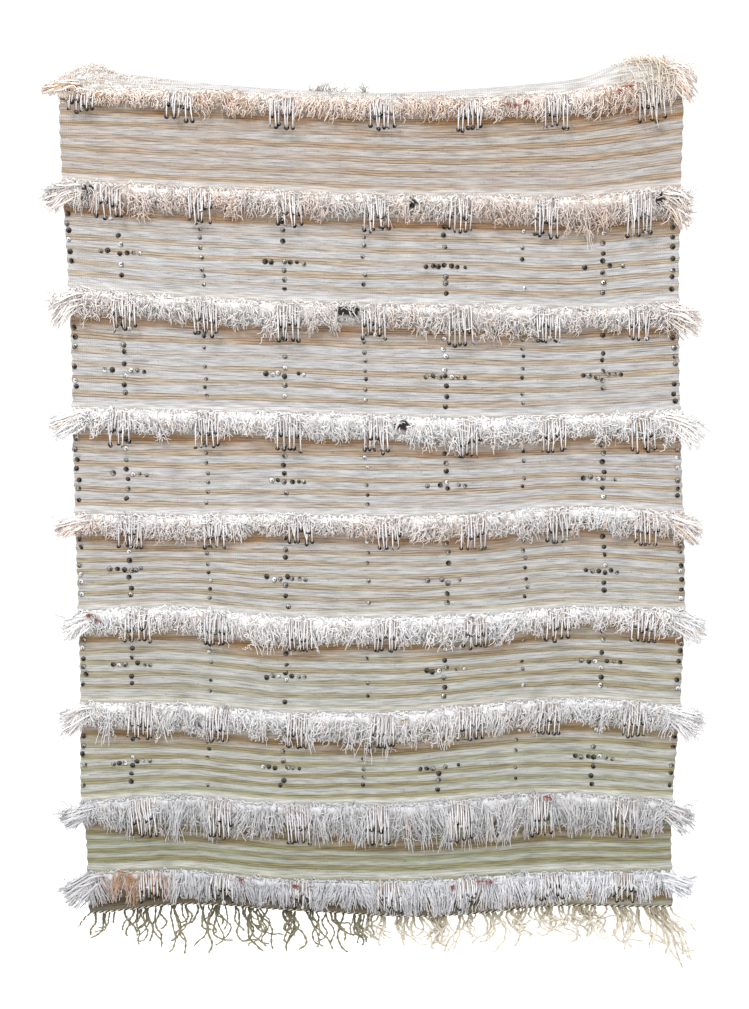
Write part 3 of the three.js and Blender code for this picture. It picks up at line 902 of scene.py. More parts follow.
def ground_masks(x, down):
    stripes_above = np.concatenate([[0], np.cumsum(STRIPES)])
    return {
        "stripe": np.interp(down, [ABOVE_ROWS, *ROOTS_DOWN, HEM_DOWN], stripes_above),
        "olive": np.interp(down, OLIVE_SHADE_GROWS["down"], OLIVE_SHADE_GROWS["strength"]),
        "plain": plain_and_lit_mask(down),
        "browned": browned_and_shaded_mask(x, down),
        "soiled": hem_shade_mask(x, down),
    }


print("stripes in all:", round(sum(STRIPES)))

# %% [markdown]
# The sheet itself is two faces a few millimetres apart that are joined all round the edge. A
# Solidify modifier would do the same, but made one by one the two faces can carry different
# masks, and the real size of the weave can be measured along its own lines.

# %% Woven ground
THIN = 2.4


def sheet_faces(lines, columns):
    """Quads of a two-faced closed sheet whose points run face by face, line by line."""
    near = np.arange(lines * columns).reshape(lines, columns)
    far = near + lines * columns

    def quads(a, b, c, d):
        return np.stack([a, b, c, d], -1).reshape(-1, 4)

    all_quads = [
        quads(near[:-1, :-1], near[:-1, 1:], near[1:, 1:], near[1:, :-1]),
        quads(far[:-1, :-1], far[1:, :-1], far[1:, 1:], far[:-1, 1:]),
        quads(near[0, :-1], far[0, :-1], far[0, 1:], near[0, 1:]),
        quads(near[-1, 1:], far[-1, 1:], far[-1, :-1], near[-1, :-1]),
        quads(near[:-1, 0], near[1:, 0], far[1:, 0], far[:-1, 0]),
        quads(near[1:, -1], near[:-1, -1], far[:-1, -1], far[1:, -1]),
    ]
    return np.concatenate(all_quads).tolist()


def store_weave(mesh, x, down):
    """Stores the UV map in metres of weave, and the masks, for both faces."""
    on_points = np.tile(np.stack([x, down], -1) * MM, (2, 1))
    corners = np.empty(len(mesh.loops), np.int32)
    mesh.loops.foreach_get("vertex_index", corners)
    uv_layer = mesh.uv_layers.new(name="weave")
    uv_layer.data.foreach_set("uv", on_points[corners].astype(np.float32).ravel())
    for name, mask in ground_masks(x, down).items():
        layer = mesh.attributes.new(name, "FLOAT", "POINT")
        both_faces = np.concatenate([mask, mask * ON_BACK[name]])
        layer.data.foreach_set("value", both_faces.astype(np.float32))


both_sides = np.concatenate([sheet + out_of_face * THIN / 2, sheet - out_of_face * THIN / 2])
ground_part = (both_sides.reshape(-1, 3), sheet_faces(lines, columns), None)
ground = make_piece("woven_ground", ground_part, WEAVE, "ground_cloth")
store_weave(ground.data, np.tile(sheet_x, lines), np.repeat(sheet_down, columns))

# %% [markdown]
# A pile row is made of yarn ends knotted round pairs of warps and left long. Real shag falls
# in locks: neighbouring ends cling to each other and swing the same way. So each row is first
# laid out as locks with a length, a swing and a shade. These follow slow waves along the row,
# with some luck of each lock's own. The few locks that hang out of line are listed.

# %% Locks of a row
LOCK_WIDTH = 13
# How much the length of each row wanders, its shortest locks, and how wide its locks swing
UNEVEN = [0.14, 0.14, 0.15, 0.15, 0.15, 0.12, 0.12, 0.1, 0.03]
SHORTEST = [0.74, 0.74, 0.74, 0.74, 0.74, 0.74, 0.74, 0.9, 0.9]
SWING = [14, 14, 14, 14, 14, 14, 14, 24, 14]
# Where a row hangs longer than its table says: row, place across, half width, share, swing
LONG_LOCKS = [
    (1, -452, 24, 0.30, 10),
    (1, 425, 50, 0.28, 26),
    (2, -210, 22, 0.30, -6),
    (2, 245, 34, 0.38, 8),
    (6, -10, 24, 0.30, -4),
    (7, -465, 40, 0.10, -34),
    (7, -250, 50, 0.12, -22),
]


def slow_wave(x, luck, waves):
    """A smooth wave along a row, between about -1 and 1."""
    total = np.zeros_like(x)
    for length in waves:
        total += np.sin(x / length * math.tau + luck.uniform(0, math.tau))
    return total / math.sqrt(len(waves))


def row_locks(index, luck):
    """The locks of a row: the place, length, swing and shade of each, from left to right."""
    count = int(2 * HALF_WIDTH / LOCK_WIDTH)
    x = (np.arange(count) + 0.5) * 2 * HALF_WIDTH / count - HALF_WIDTH
    drop = across(PILE_ROWS[index]["drop"], x) * luck.uniform(SHORTEST[index], 1.14, count)
    drop *= 1 + UNEVEN[index] * slow_wave(x, luck, (97, 43))
    swing = SWING[index] * slow_wave(x, luck, (310, 140, 61)) + luck.normal(0, 7, count)
    for long_row, place, half, share, lean in LONG_LOCKS:
        if long_row == index:
            near = np.exp(-(((x - place) / half) ** 2))
            drop *= 1 + share * near
            swing += lean * near
    return {"x": x, "drop": drop, "swing": swing, "shade": luck.normal(0.98, 0.04, count)}


def lock_of(x, locks):
    """The number of the lock that each place across belongs to."""
    count = len(locks["x"])
    return np.clip(((x + HALF_WIDTH) / (2 * HALF_WIDTH) * count).astype(int), 0, count - 1)


print("locks in a row:", int(2 * HALF_WIDTH / LOCK_WIDTH))

# %% [markdown]
# Undyed wool isn't one white. It is warm and rosy in the upper rows and grey in the lower ones,
# partly as painted light and shade. A share of the ends is dull, some are tan, and rust has run
# into two of the rows. Each yarn end gets one dye, with painted shade that darkens it at its
# root and lower in the row, so that the ends stay apart to the eye.

# %% Wool colours
TOP_WOOL = srgb(250, 242, 236)
MID_WOOL = srgb(253, 252, 252)
LOW_WOOL = srgb(204, 204, 207)
PEACH_WOOL = srgb(243, 221, 205)
PINK_WOOL = srgb(238, 214, 198)
TAN_END = srgb(222, 198, 176)
RUST_END = srgb(170, 112, 26)
DULL = 0.55
# How bright each row is, its share of dull ends, and how pink it is towards its tips
BRIGHTNESS = [1.03, 0.86, 0.88, 0.97, 0.93, 1.0, 0.98, 0.91, 1.02]
DULL_ENDS = [0.1, 0.15, 0.13, 0.09, 0.12, 0.09, 0.12, 0.2, 0.17]
PINKNESS = [1.0, 1.0, 0.5, 0.2, 0.8, 0.25, 0.25, 0.1, 0.0]
# Where the wool is stained with rust: row, place across, half width, share of the ends
RUST_PATCHES = [
    (0, -540, 45, 0.35),
    (0, -290, 60, 0.4),
    (0, 150, 45, 0.2),
    (0, 480, 60, 0.3),
    (8, -500, 66, 0.85),
]


def row_wool(index):
    """A row's white, warm at the top of the blanket and grey at its foot: partly the wool's own, partly
    painted light and shade.
    """
    white = TOP_WOOL + (MID_WOOL - TOP_WOOL) * min(index / 3, 1)
    white = white + (LOW_WOOL - white) * max((index - 3) / 5, 0) ** 1.8
    if index == 0:
        white = white * 0.72 + PEACH_WOOL * 0.28
    return white * BRIGHTNESS[index]


def wool_dyes(index, x, share, shades, steps, luck, root_to_tip_shade=(0.92, 1.04)):
    """The dyes of yarn ends that start at a share of the way down a row."""
    count = len(x)
    # Random tone, and painted shade that darkens ends which start further down the row
    shade = shades * luck.normal(1.04, 0.045, count) * (1 - 0.16 * share)
    shade = np.where(luck.random(count) < DULL_ENDS[index], DULL, 1) * shade
    blush = 0.5 + 0.5 * np.sin(x / 47 + 2 * index) * np.sin(x / 83 - index)
    pink = np.clip(PINKNESS[index] * blush * (0.4 + share), 0, 1)
    dye = (row_wool(index) + (PINK_WOOL - row_wool(index)) * pink[:, None]) * shade[:, None]
    tan = luck.random(count) < (0.03 + 0.08 * share) * (1 - index / 9)
    dye[tan] = TAN_END * luck.uniform(0.9, 1.1, (tan.sum(), 1))
    if index == len(PILE_ROWS) - 1:
        dye *= (1 + 0.34 * soft_step((x + 100) / 500))[:, None]
    for row_index, place, half, stained in RUST_PATCHES:
        if row_index == index:
            near = np.exp(-(((x - place) / half) ** 4))
            stain = near * (luck.random(count) < stained) * (1.05 - 0.7 * share)
            dye += (RUST_END - dye) * (luck.uniform(0.6, 1, count) * stain)[:, None]
    # Painted shade along each end: by default darker at its root
    along = dye[:, None] * np.linspace(*root_to_tip_shade, steps)[:, None]
    return np.clip(along, 0, 1)


print("white of the first row and the last:", row_wool(0).round(2), row_wool(8).round(2))

# %% [markdown]
# Hair particles could grow the yarn ends, but hair isn't a closed mesh and would be lost on
# export, so each end is a thin three-sided tube. The first layer is broad flat ends that hang
# from the root line and fill each lock. They leave room for the tassels, and for the few dark
# partings where the wool has opened over the knots.

# %% Ends that fill the locks
UNDER_PER_LOCK = 5
UNDER_RADII = (3.0, 1.4)
TASSEL_HALF = 24
# Where the wool parts and the bed is painted nearly black as shade: row, place across, half width
SHADED_PARTINGS = [(1, -548, 10), (1, 78, 13), (1, 560, 12), (2, -50, 30), (3, 50, 19)]
PARTING = {"down": 18, "half": 6}


def parted(index, x, down, luck):
    """Which yarn ends lie clear of the dark partings and, mostly, of the tassels."""
    keep = np.ones(len(x), bool)
    for row_index, place, half in SHADED_PARTINGS:
        if row_index == index:
            inside = ((x - place) / half) ** 2 + ((down - PARTING["down"]) / PARTING["half"]) ** 2
            keep &= (inside.min(1) > 1) | (luck.random(len(x)) < 0.1)
    for tassel_x in PILE_ROWS[index]["tassels"]:
        under = (np.abs(x.mean(1) - tassel_x) < TASSEL_HALF) & (down.mean(1) > 6)
        keep &= ~(under & (luck.random(len(x)) < 0.6))
    return keep


def under_ends(index, locks, luck):
    """Broad flat ends that hang from the root line and fill each lock."""
    lock = np.repeat(np.arange(len(locks["x"])), UNDER_PER_LOCK)
    count = len(lock)
    drop = locks["drop"][lock]
    root_x = locks["x"][lock] + luck.normal(0, 6, count)
    root_down = luck.uniform(-2, 0.45, count) * drop * 0.5
    tip_down = np.maximum(drop * luck.uniform(0.55, 0.88, count), root_down + 12)
    t = np.linspace(0, 1, 4)
    x = root_x[:, None] + (0.8 * locks["swing"][lock] + luck.normal(0, 5, count))[:, None] * t**1.3
    down = np.maximum(root_down, -3)[:, None] + (tip_down - np.maximum(root_down, -3))[:, None] * t
    off = 1 + luck.uniform(4, 10, (count, 1)) * np.sin(math.pi * np.clip(t * 0.8 + 0.08, 0, 1))
    keep = parted(index, x, down, luck)
    paths = on_front(x, ROOTS_DOWN[index] + down, off)[0][keep]
    radii = luck.uniform(0.8, 1.2, (count, 1))[keep] * np.linspace(*UNDER_RADII, 4)
    shares = np.full(count, 0.3)
    # These ends are painted darker towards their tips, as shade in the gaps under the curls
    dyes = wool_dyes(index, root_x, shares, locks["shade"][lock], 4, luck, root_to_tip_shade=(1.04, 0.74))
    return paths, radii, dyes[keep]


print("ends that fill a row:", UNDER_PER_LOCK * int(2 * HALF_WIDTH / LOCK_WIDTH))

# %% [markdown]
# Over them lie the ends that the eye sees. In the upper rows they are crimped and looped every
# way, because the wool has felted, and in the last rows most hang combed and straight. Each is
# a small corkscrew: it starts somewhere in the row, heads off with its lock's swing, and winds
# as it goes. At the selvedges the curls run on past the edge and lift where the row lifts.

# %% Curled ends
CURLS = 1850
SIDE_CURLS = 0.68
CURL = {"steps": 6, "turns": (0.9, 2.3), "wide": (1.0, 4.0), "long": (16, 32), "radius": (1.0, 0.6)}
# How much of each row is combed straight
COMBED = [0.1, 0.1, 0.08, 0.06, 0.1, 0.15, 0.3, 0.55, 0.88]
LIFT_FROM = 540


def curled_ends(index, locks, luck):
    """Yarn ends that crimp and loop all over the row, or hang straight where it is combed."""
    steps = CURL["steps"]
    left, right = PILE_ROWS[index]["ends"]
    low, high = -HALF_WIDTH - SIDE_CURLS * left, HALF_WIDTH + SIDE_CURLS * right
    t = np.linspace(0, 1, steps)
    start_x = low + (high - low) * (np.arange(CURLS) + luck.uniform(-2, 2, CURLS)) / CURLS
    beyond = np.clip((np.abs(start_x) - HALF_WIDTH) / np.where(start_x < 0, left, right), 0, 0.95)
    lock = lock_of(start_x, locks)
    drop = locks["drop"][lock]
    straight = luck.random(CURLS) < COMBED[index]
    share = np.where(straight, luck.uniform(0, 0.35, CURLS), luck.uniform(-0.02, 0.8, CURLS))
    share = 0.42 + (share - 0.42) * np.sqrt(1 - beyond**2)
    start_down = share * drop
    reach = np.where(straight, luck.uniform(0.88, 1.1, CURLS), luck.uniform(0.7, 1.04, CURLS))
    rest = np.maximum(drop * reach - start_down, 3)
    long = np.where(straight, rest, np.minimum(rest + 3, luck.uniform(*CURL["long"], CURLS)))
    spread = np.where(straight, 0.12, 1.15 - 0.8 * np.clip(share, 0, 1))
    long = long * (1 - 0.4 * beyond)
    heading = np.arctan2(locks["swing"][lock], drop) + luck.normal(0, 1, CURLS) * spread
    heading += np.sign(start_x) * np.minimum(2.2 * beyond, 1.2)
    wide = luck.uniform(*CURL["wide"], CURLS) * np.where(straight, 0.35, 1)
    turn = math.tau * luck.uniform(*CURL["turns"], (CURLS, 1)) * t + luck.uniform(0, math.tau, (CURLS, 1))
    x = start_x[:, None] + (np.sin(heading) * long)[:, None] * t + wide[:, None] * np.cos(turn)
    down = start_down[:, None] + (np.cos(heading) * long)[:, None] * t + 0.8 * wide[:, None] * np.sin(turn)
    rough = (0.12 + 0.5 * np.clip(share, 0, 1)) * luck.random(CURLS)
    thick = 8 + 10 * np.sin(math.pi * np.clip(0.22 + 0.7 * share, 0, 1)) * (1 - rough)
    off = thick[:, None] * (0.45 + 0.55 * np.sin(math.pi * np.clip(t + 0.2, 0, 1)))
    off += 0.6 * wide[:, None] * np.sin(turn + 1.3)
    lift = PILE_ROWS[index].get("ends_up", 0) * soft_step((np.abs(start_x) - LIFT_FROM) / 60)
    down = np.maximum(down, -5) - lift[:, None]
    keep = parted(index, x, down, luck)
    paths = on_front(x, ROOTS_DOWN[index] + down, np.maximum(off, 1))[0][keep]
    radii = (luck.uniform(0.8, 1.25, (CURLS, 1)) * np.linspace(*CURL["radius"], steps))[keep]
    return paths, radii, wool_dyes(index, start_x, share, locks["shade"][lock], steps, luck)[keep]


print("curls in a row:", CURLS)

# %% [markdown]
# Past each selvedge the knots of a row stand out as a thick blunt brush, because nothing holds
# them there. Above the root line a haze of short fluff rises from the knots, which softens
# the line where the row meets the ground.

# %% Side brushes and root fluff
SIDE_ENDS = 60
SIDE_REACH = 0.94
SIDE_RADII = (2.0, 1.5)
FUZZ = {"count": 760, "height": (1.5, 5.5), "radii": (1.5, 1.0)}


def side_ends(index, luck):
    """The brush of yarn ends that stands out past each selvedge."""
    row = PILE_ROWS[index]
    t = np.linspace(0, 1, 5)
    paths, radii, dyes = [], [], []
    for side, reach, drop in zip((-1, 1), row["ends"], (row["drop"][0], row["drop"][-1])):
        height = luck.uniform(0, 1, SIDE_ENDS)
        root_x = HALF_WIDTH - luck.uniform(0, 40, SIDE_ENDS)
        blunt = np.sqrt(np.clip(1 - ((height - 0.45) / 0.75) ** 2, 0, 1))
        tip_x = (HALF_WIDTH + SIDE_REACH * reach * blunt) * luck.uniform(0.965, 1.005, SIDE_ENDS)
        bend = luck.uniform(0.9, 1.4, SIDE_ENDS)[:, None]
        wave = luck.uniform(0, math.tau, (SIDE_ENDS, 1)) + luck.uniform(2, 7, (SIDE_ENDS, 1)) * t
        x = side * (root_x[:, None] + (tip_x - root_x)[:, None] * t)
        high = height[:, None]
        down = drop * (0.4 * high + (0.2 + 0.62 * high) * t**bend) + 2.8 * np.sin(wave)
        down -= row.get("ends_up", 0)
        off = 3 + luck.uniform(4, 16, (SIDE_ENDS, 1)) * np.sin(math.pi * (0.15 + 0.6 * t))
        paths.append(on_front(x, ROOTS_DOWN[index] + down, off)[0])
        radii.append(luck.uniform(0.9, 1.3, (SIDE_ENDS, 1)) * np.linspace(*SIDE_RADII, 5))
        dyes.append(wool_dyes(index, side * root_x, 0.5 * height, np.full(SIDE_ENDS, 0.97), 5, luck))
    return np.concatenate(paths), np.concatenate(radii), np.concatenate(dyes)


def fuzz_ends(index, luck):
    """Short white fluff that stands up over the root line and blends the row into the ground."""
    count = FUZZ["count"]
    t = np.linspace(0, 1, 3)
    x = luck.uniform(-HALF_WIDTH, HALF_WIDTH, (count, 1))
    height = luck.uniform(*FUZZ["height"], (count, 1)) * (1.2 + 0.6 * slow_wave(x, luck, (90, 37)))
    lean = luck.normal(0, 9, (count, 1))
    down = ROOTS_DOWN[index] + luck.uniform(-1, 8, (count, 1)) - height * np.sin(math.pi * 0.9 * t)
    off = 1.5 + luck.uniform(1, 6, (count, 1)) * np.sin(math.pi * 0.75 * t)
    paths = on_front(x + lean * t, down, off)[0]
    radii = np.broadcast_to(np.linspace(*FUZZ["radii"], 3), (count, 3))
    dye = row_wool(index) * luck.uniform(0.98, 1.08, (count, 1))
    return paths, radii, np.clip(np.repeat(dye[:, None], 3, axis=1), 0, 1)


print("ends in each side brush:", SIDE_ENDS)

# %% [markdown]
# Under all the ends lies the bed of the row: the knots themselves, as one lumpy closed form
# that fills the gaps. It is wool-coloured at the root, and painted shade makes it darker towards
# its rim, greyer under the tassels and nearly black where the wool has parted. Bed and ends are
# then joined into one mesh for each row.

# %% The nine rows of pile
BED = {
    "share": [-0.04, 0.1, 0.32, 0.6, 0.85, 1.0],
    "height": [0.8, 6.5, 9.0, 8.0, 5.5, 0.8],
    "shade": [0.95, 0.95, 0.9, 0.75, 0.6, 0.6, 0.6],
}
BED_COLUMNS = 200
BED_SHADE_UNDER_TASSEL = srgb(160, 149, 141)
PARTING_SHADE = srgb(38, 32, 28)


def pile_bed(index, luck):
    """The knots under a row's yarn ends, as one lumpy closed form."""
    x = np.linspace(-HALF_WIDTH - 3, HALF_WIDTH + 3, BED_COLUMNS)
    drop = across(PILE_ROWS[index]["drop"], x) * (0.6 + 0.06 * slow_wave(x, luck, (47, 23)))
    lump = 1 + 0.25 * slow_wave(x, luck, (31, 13))
    rings = []
    for share, height in zip(BED["share"], BED["height"]):
        rings.append(on_front(x, ROOTS_DOWN[index] + drop * share, height * lump)[0])
    rings.append(on_front(x, ROOTS_DOWN[index] + drop * 0.5, np.full_like(x, 0.4))[0])
    points = np.stack(rings, 1)
    grid = np.arange(BED_COLUMNS * len(rings)).reshape(BED_COLUMNS, len(rings))
    turned = np.roll(grid, -1, axis=1)
    walls = np.stack([grid[:-1], grid[1:], turned[1:], turned[:-1]], -1).reshape(-1, 4)
    faces = walls.tolist() + [grid[0].tolist(), grid[-1, ::-1].tolist()]
    # Painted shade: darker rings towards the rim, grey under the tassels and nearly black in the partings
    dye = row_wool(index) * np.tile(np.array(BED["shade"])[:, None], (BED_COLUMNS, 1, 1))
    for tassel_x in PILE_ROWS[index]["tassels"]:
        dye[np.abs(x - tassel_x) < TASSEL_HALF] = BED_SHADE_UNDER_TASSEL
    for row_index, place, half in SHADED_PARTINGS:
        if row_index == index:
            dye[np.abs(x - place) < half + 3, 2] = PARTING_SHADE
            dye[np.abs(x - place) < 0.7 * half, 1:4] = PARTING_SHADE
    return points.reshape(-1, 3), faces, dye.reshape(-1, 3)


pile_pieces = []
for index, row in enumerate(PILE_ROWS):
    luck = np.random.default_rng(100 + index)
    locks = row_locks(index, luck)
    parts = [
        pile_bed(index, luck),
        yarns(under_ends(index, locks, luck), flat=0.4),
        yarns(curled_ends(index, locks, luck)),
        yarns(side_ends(index, luck)),
        yarns(fuzz_ends(index, luck)),
    ]
    shag = gathered(parts)
    pile_pieces.append(make_piece("shag_" + row["name"], shag, PILE_WOOL, row["name"]))

# %% [markdown]
# The discs are stamped from thin metal, about 11 mm across, dished, with a hole in the middle.
# One disc is drawn as a few rings, from its rim over the raised front, through the hole and
# back behind. All the others are turned and moved copies of it within one mesh, because
# hundreds of separate objects would be slow. Most are tarnished nearly black and a few shine.
# Each has a painted highlight on its raised middle and on the side that its tilt would light,
# and a darker rim, so that the dishes read from afar.

# %% One sewn disc
DISC_SIDES = 8
# The radius and height of each ring, and the painted light on it: above 1 a highlight, below 1 shade
DISC_RINGS = [(5.2, 0.0), (4.5, 0.5), (2.4, 0.9), (0.6, 0.5)]
RING_SHINE = [0.6, 0.75, 2.2, 0.6]
SIDE_SHINE = 0.8
METALS = np.array([srgb(66, 62, 57), srgb(118, 114, 109), srgb(216, 214, 213)])


def disc_parts(centres, outs, sizes, metals, luck, tilt):
    """Discs at many places, each facing nearly the way that is given for it."""
    count = len(centres)
    out = unit(outs + luck.normal(0, tilt, (count, 3)))
    side = unit(np.cross(out, [0, 0, 1.0]) + luck.normal(0, 0.25, (count, 3)))
    side = unit(side - out * (side * out).sum(-1, keepdims=True))
    rise = np.cross(side, out)
    angles = np.arange(DISC_SIDES) * math.tau / DISC_SIDES
    # Painted highlight on the side that each disc's tilt would light
    lit_from = luck.normal(0.5, 0.9, (count, 1))
    glint = (1 + SIDE_SHINE * np.sin(angles + lit_from))[..., None]
    wheel = np.cos(angles)[:, None] * side[:, None] + np.sin(angles)[:, None] * rise[:, None]
    points = np.empty((count, len(DISC_RINGS), DISC_SIDES, 3))
    dyes = np.empty(points.shape)
    for k, (radius, height) in enumerate(DISC_RINGS):
        points[:, k] = centres[:, None] + sizes[:, None, None] * radius * wheel + height * out[:, None]
        dyes[:, k] = metals[:, None] * RING_SHINE[k] * glint
    index = np.arange(points[..., 0].size).reshape(points.shape[:3])
    next_ring = np.roll(index, -1, axis=1)
    quads = [index, np.roll(index, -1, axis=2), np.roll(next_ring, -1, axis=2), next_ring]
    faces = np.stack(quads, -1).reshape(-1, 4).tolist()
    return points.reshape(-1, 3), faces, np.clip(dyes, 0, 1).reshape(-1, 3)


print("a disc has", 2 * len(DISC_RINGS) * DISC_SIDES, "triangles")

# %% [markdown]
# Upright lines of discs run between the second row of pile and the eighth: one along each
# edge and seven inside, and four of those are crossed by a short bar. The lines drift a
# little from band to band, as the real ones do, so each has a place at the top and one at
# the bottom. Discs are lost here and there, and those that are left sit a little askew.

# %% Sewn lines and crosses
DISC_LINES = {
    "top_x": [-593, -495, -336, -175, -18, 141, 294, 451, 587],
    "low_x": [-603, -497, -341, -192, -28, 125, 281, 437, 596],
}
CROSS_LINES = [1, 3, 5, 7]
FAINT_LINES = [2, 4, 6]
# How far down its band the bar of each cross is sewn, band by band
BAR_SHARES = [
    [0.61, 0.62, 0.63, 0.615],
    [0.65, 0.63, 0.62, 0.61],
    [0.59, 0.65, 0.68, 0.67],
    [0.565, 0.61, 0.63, 0.62],
    [0.58, 0.60, 0.575, 0.57],
    [0.61, 0.595, 0.62, 0.60],
]
BAR_STEPS = (-3, -2, -1, 1, 2, 3)
BAR_PITCH = 12.5
LINE_PITCH = 19
LINE_ENDS = {"below_pile": 8, "above_root": 24, "from_edge": 7}
LOST = 0.13


def sewn_places(luck):
    """Places across and down of all sewn discs, and whether each is a small dull one."""
    places = []
    farthest = HALF_WIDTH - LINE_ENDS["from_edge"]
    for band, bar_shares in enumerate(BAR_SHARES):
        top, low = ROOTS_DOWN[band + 1], ROOTS_DOWN[band + 2]
        for line, (top_x, low_x) in enumerate(zip(DISC_LINES["top_x"], DISC_LINES["low_x"])):
            x = np.clip(top_x + (low_x - top_x) * band / (len(BAR_SHARES) - 1), -farthest, farthest)
            drop = float(across(PILE_ROWS[band + 1]["drop"], np.array([x]))[0])
            first = top + drop + LINE_ENDS["below_pile"]
            count = int((low - LINE_ENDS["above_root"] - first) / LINE_PITCH) + 1
            for down in first + LINE_PITCH * np.arange(count):
                places.append((x + luck.normal(0, 1.6), down + luck.normal(0, 2.5), line in FAINT_LINES))
            if line in CROSS_LINES:
                bar = top + (low - top) * bar_shares[CROSS_LINES.index(line)]
                for step in BAR_STEPS:
                    bar_x = x + step * BAR_PITCH + luck.normal(0, 1.2)
                    places.append((bar_x, bar + luck.normal(0, 1.8), step > 1))
    places = np.array(places)
    return places[luck.random(len(places)) > LOST]


def sewn_part(luck):
    """All sewn discs: the faint ones are smaller, and dull more often."""
    places = sewn_places(luck)
    count = len(places)
    faint = places[:, 2] > 0
    centres, outs = on_front(places[:, 0], places[:, 1], np.full(count, 0.9))
    sizes = luck.uniform(0.92, 1.12, count) * np.where(faint, 0.78, 1)
    faint_metals = luck.choice(3, count, p=[0.25, 0.65, 0.1])
    metals = METALS[np.where(faint, faint_metals, luck.choice(3, count, p=[0.58, 0.28, 0.14]))]
    print("discs sewn to the ground:", count)
    return disc_parts(centres, outs, sizes, metals, luck, 0.2)


sewn_discs = make_piece("sewn_discs", sewn_part(np.random.default_rng(21)), DISC_METAL)

# %% [markdown]
# Seven tassels hang in each row. The weaver draws doubled white yarns through the root line,
# so each cord is two strands side by side that meet at a disc. Every second cord ends about
# half way down the pile, and the others hang past its rim. The cords lie over the shag, so
# they keep nearly the same distance from the ground from their second point on. A bevelled
# curve would draw one cord well, but hundreds of them are lighter as tubes in one mesh.

# %% Tassels
TASSEL = {"cords": 10, "over": 16.5, "below": (9, 20), "short": 0.52, "part": 0.62}
# The longest cord of each row
LONGEST_CORD = [90, 78, 76, 76, 66, 64, 68, 78, 62]
HEM_MARGIN = 13
TASSEL_STEPS = 5
TASSEL_WOOL = srgb(240, 237, 238)
ROOT_OFF = 4.0
DISC_OVERLAP = {"down": 0.8, "into": 1.6}


def cord_length(index, k, drop, luck):
    """A cord ends past the pile's rim but above the hem. Odd cords are the short ones."""
    long = min(luck.uniform(*TASSEL["below"]) + drop, LONGEST_CORD[index] - luck.uniform(0, 8))
    long = min(long, HEM_DOWN - HEM_MARGIN - luck.uniform(0, 22) - ROOTS_DOWN[index])
    if k % 2:
        long *= TASSEL["short"] + luck.uniform(0, 0.16)
    return long


def tassel_cords(index, luck):
    """Paths, radii and dyes of the cords, and where their discs hang and face."""
    paths, ends = [], []
    t = np.linspace(0, 1, TASSEL_STEPS)
    off = ROOT_OFF + (TASSEL["over"] - ROOT_OFF) * np.clip(t * 2.6, 0, 1) ** 0.6
    part = TASSEL["part"] * np.sin(math.pi * (0.12 + 0.86 * t))[:, None] * np.array([1.0, 0, 0])
    for tassel_x in PILE_ROWS[index]["tassels"]:
        cords = TASSEL["cords"] + luck.integers(-1, 2)
        for k in range(cords):
            root_x = tassel_x + TASSEL_HALF * (2 * (k + 0.5) / cords - 1) + luck.normal(0, 1)
            drop = float(across(PILE_ROWS[index]["drop"], np.array([root_x]))[0])
            long = cord_length(index, k, drop, luck)
            x = root_x + luck.normal(0, 2.2) * t**1.5
            points, out = on_front(x, ROOTS_DOWN[index] - 1 + long * t, off)
            paths.extend([points + part, points - part])
            disc_at = points[-1] - [0, 0, DISC_OVERLAP["down"]] - DISC_OVERLAP["into"] * out[-1]
            ends.append((disc_at, out[-1]))
    radii = np.broadcast_to(luck.uniform(0.6, 0.8, (len(paths), 1)), (len(paths), TASSEL_STEPS))
    # Each cord is dimmed at random, partly as painted shade
    dyes = TASSEL_WOOL * np.repeat(luck.uniform(0.66, 0.95, (len(ends), 1)), 2, axis=0)
    dyes = np.clip(np.repeat(dyes[:, None], TASSEL_STEPS, axis=1), 0, 1)
    return (np.array(paths), radii, dyes), np.array(ends)


tassel_pieces = []
for index, row in enumerate(PILE_ROWS):
    luck = np.random.default_rng(300 + index)
    made, ends = tassel_cords(index, luck)
    cords = yarns(made, sides=4)
    tassel_pieces.append(make_piece("tassels_" + row["name"], cords, TASSEL_YARN))
    metals = METALS[luck.choice(3, len(ends), p=[0.84, 0.12, 0.04])]
    sizes = luck.uniform(0.8, 1.02, len(ends))
    discs = disc_parts(ends[:, 0], ends[:, 1], sizes, metals, luck, 0.55)
    tassel_pieces.append(make_piece("tassel_discs_" + row["name"], discs, DISC_METAL))

# %% [markdown]
# Each hem is bound by a cord of two yarns, one black and one cream, that twine round each
# other and lock the last weft. One plain tube with a painted twist would look smooth from the
# side. Drawn as two helices with the same axis, they give the dotted line that the hem shows.
# The lower cord runs on past the left edge as a short tail.

# %% Twined hem cords
CORD_SEAT = 2.8
TWINE_STEP = 2.3
PLY = {"radius": 1.25, "off_axis": 1.05, "pitch": 13, "sides": 5}
CORD_TAIL = [(9, 7), (16, 15), (21, 22), (25, 29)]
BLACK_YARN = srgb(34, 31, 29)
CREAM_YARN = srgb(222, 212, 190)


def evenly(path, step):
    """The same path with a point at every step along it."""
    gone = np.concatenate([[0], np.cumsum(np.linalg.norm(np.diff(path, axis=0), axis=1))])
    at = np.linspace(0, gone[-1], int(gone[-1] / step) + 1)
    return np.stack([np.interp(at, gone, path[:, k]) for k in range(3)], -1)


def hem_line(line):
    """Points on one of the sheet's end lines, and the way off the cloth there."""
    points = sheet[line]
    off = unit(np.cross(unit(np.gradient(points, axis=0)), out_of_face[line]))
    return points, off if line == 0 else -off


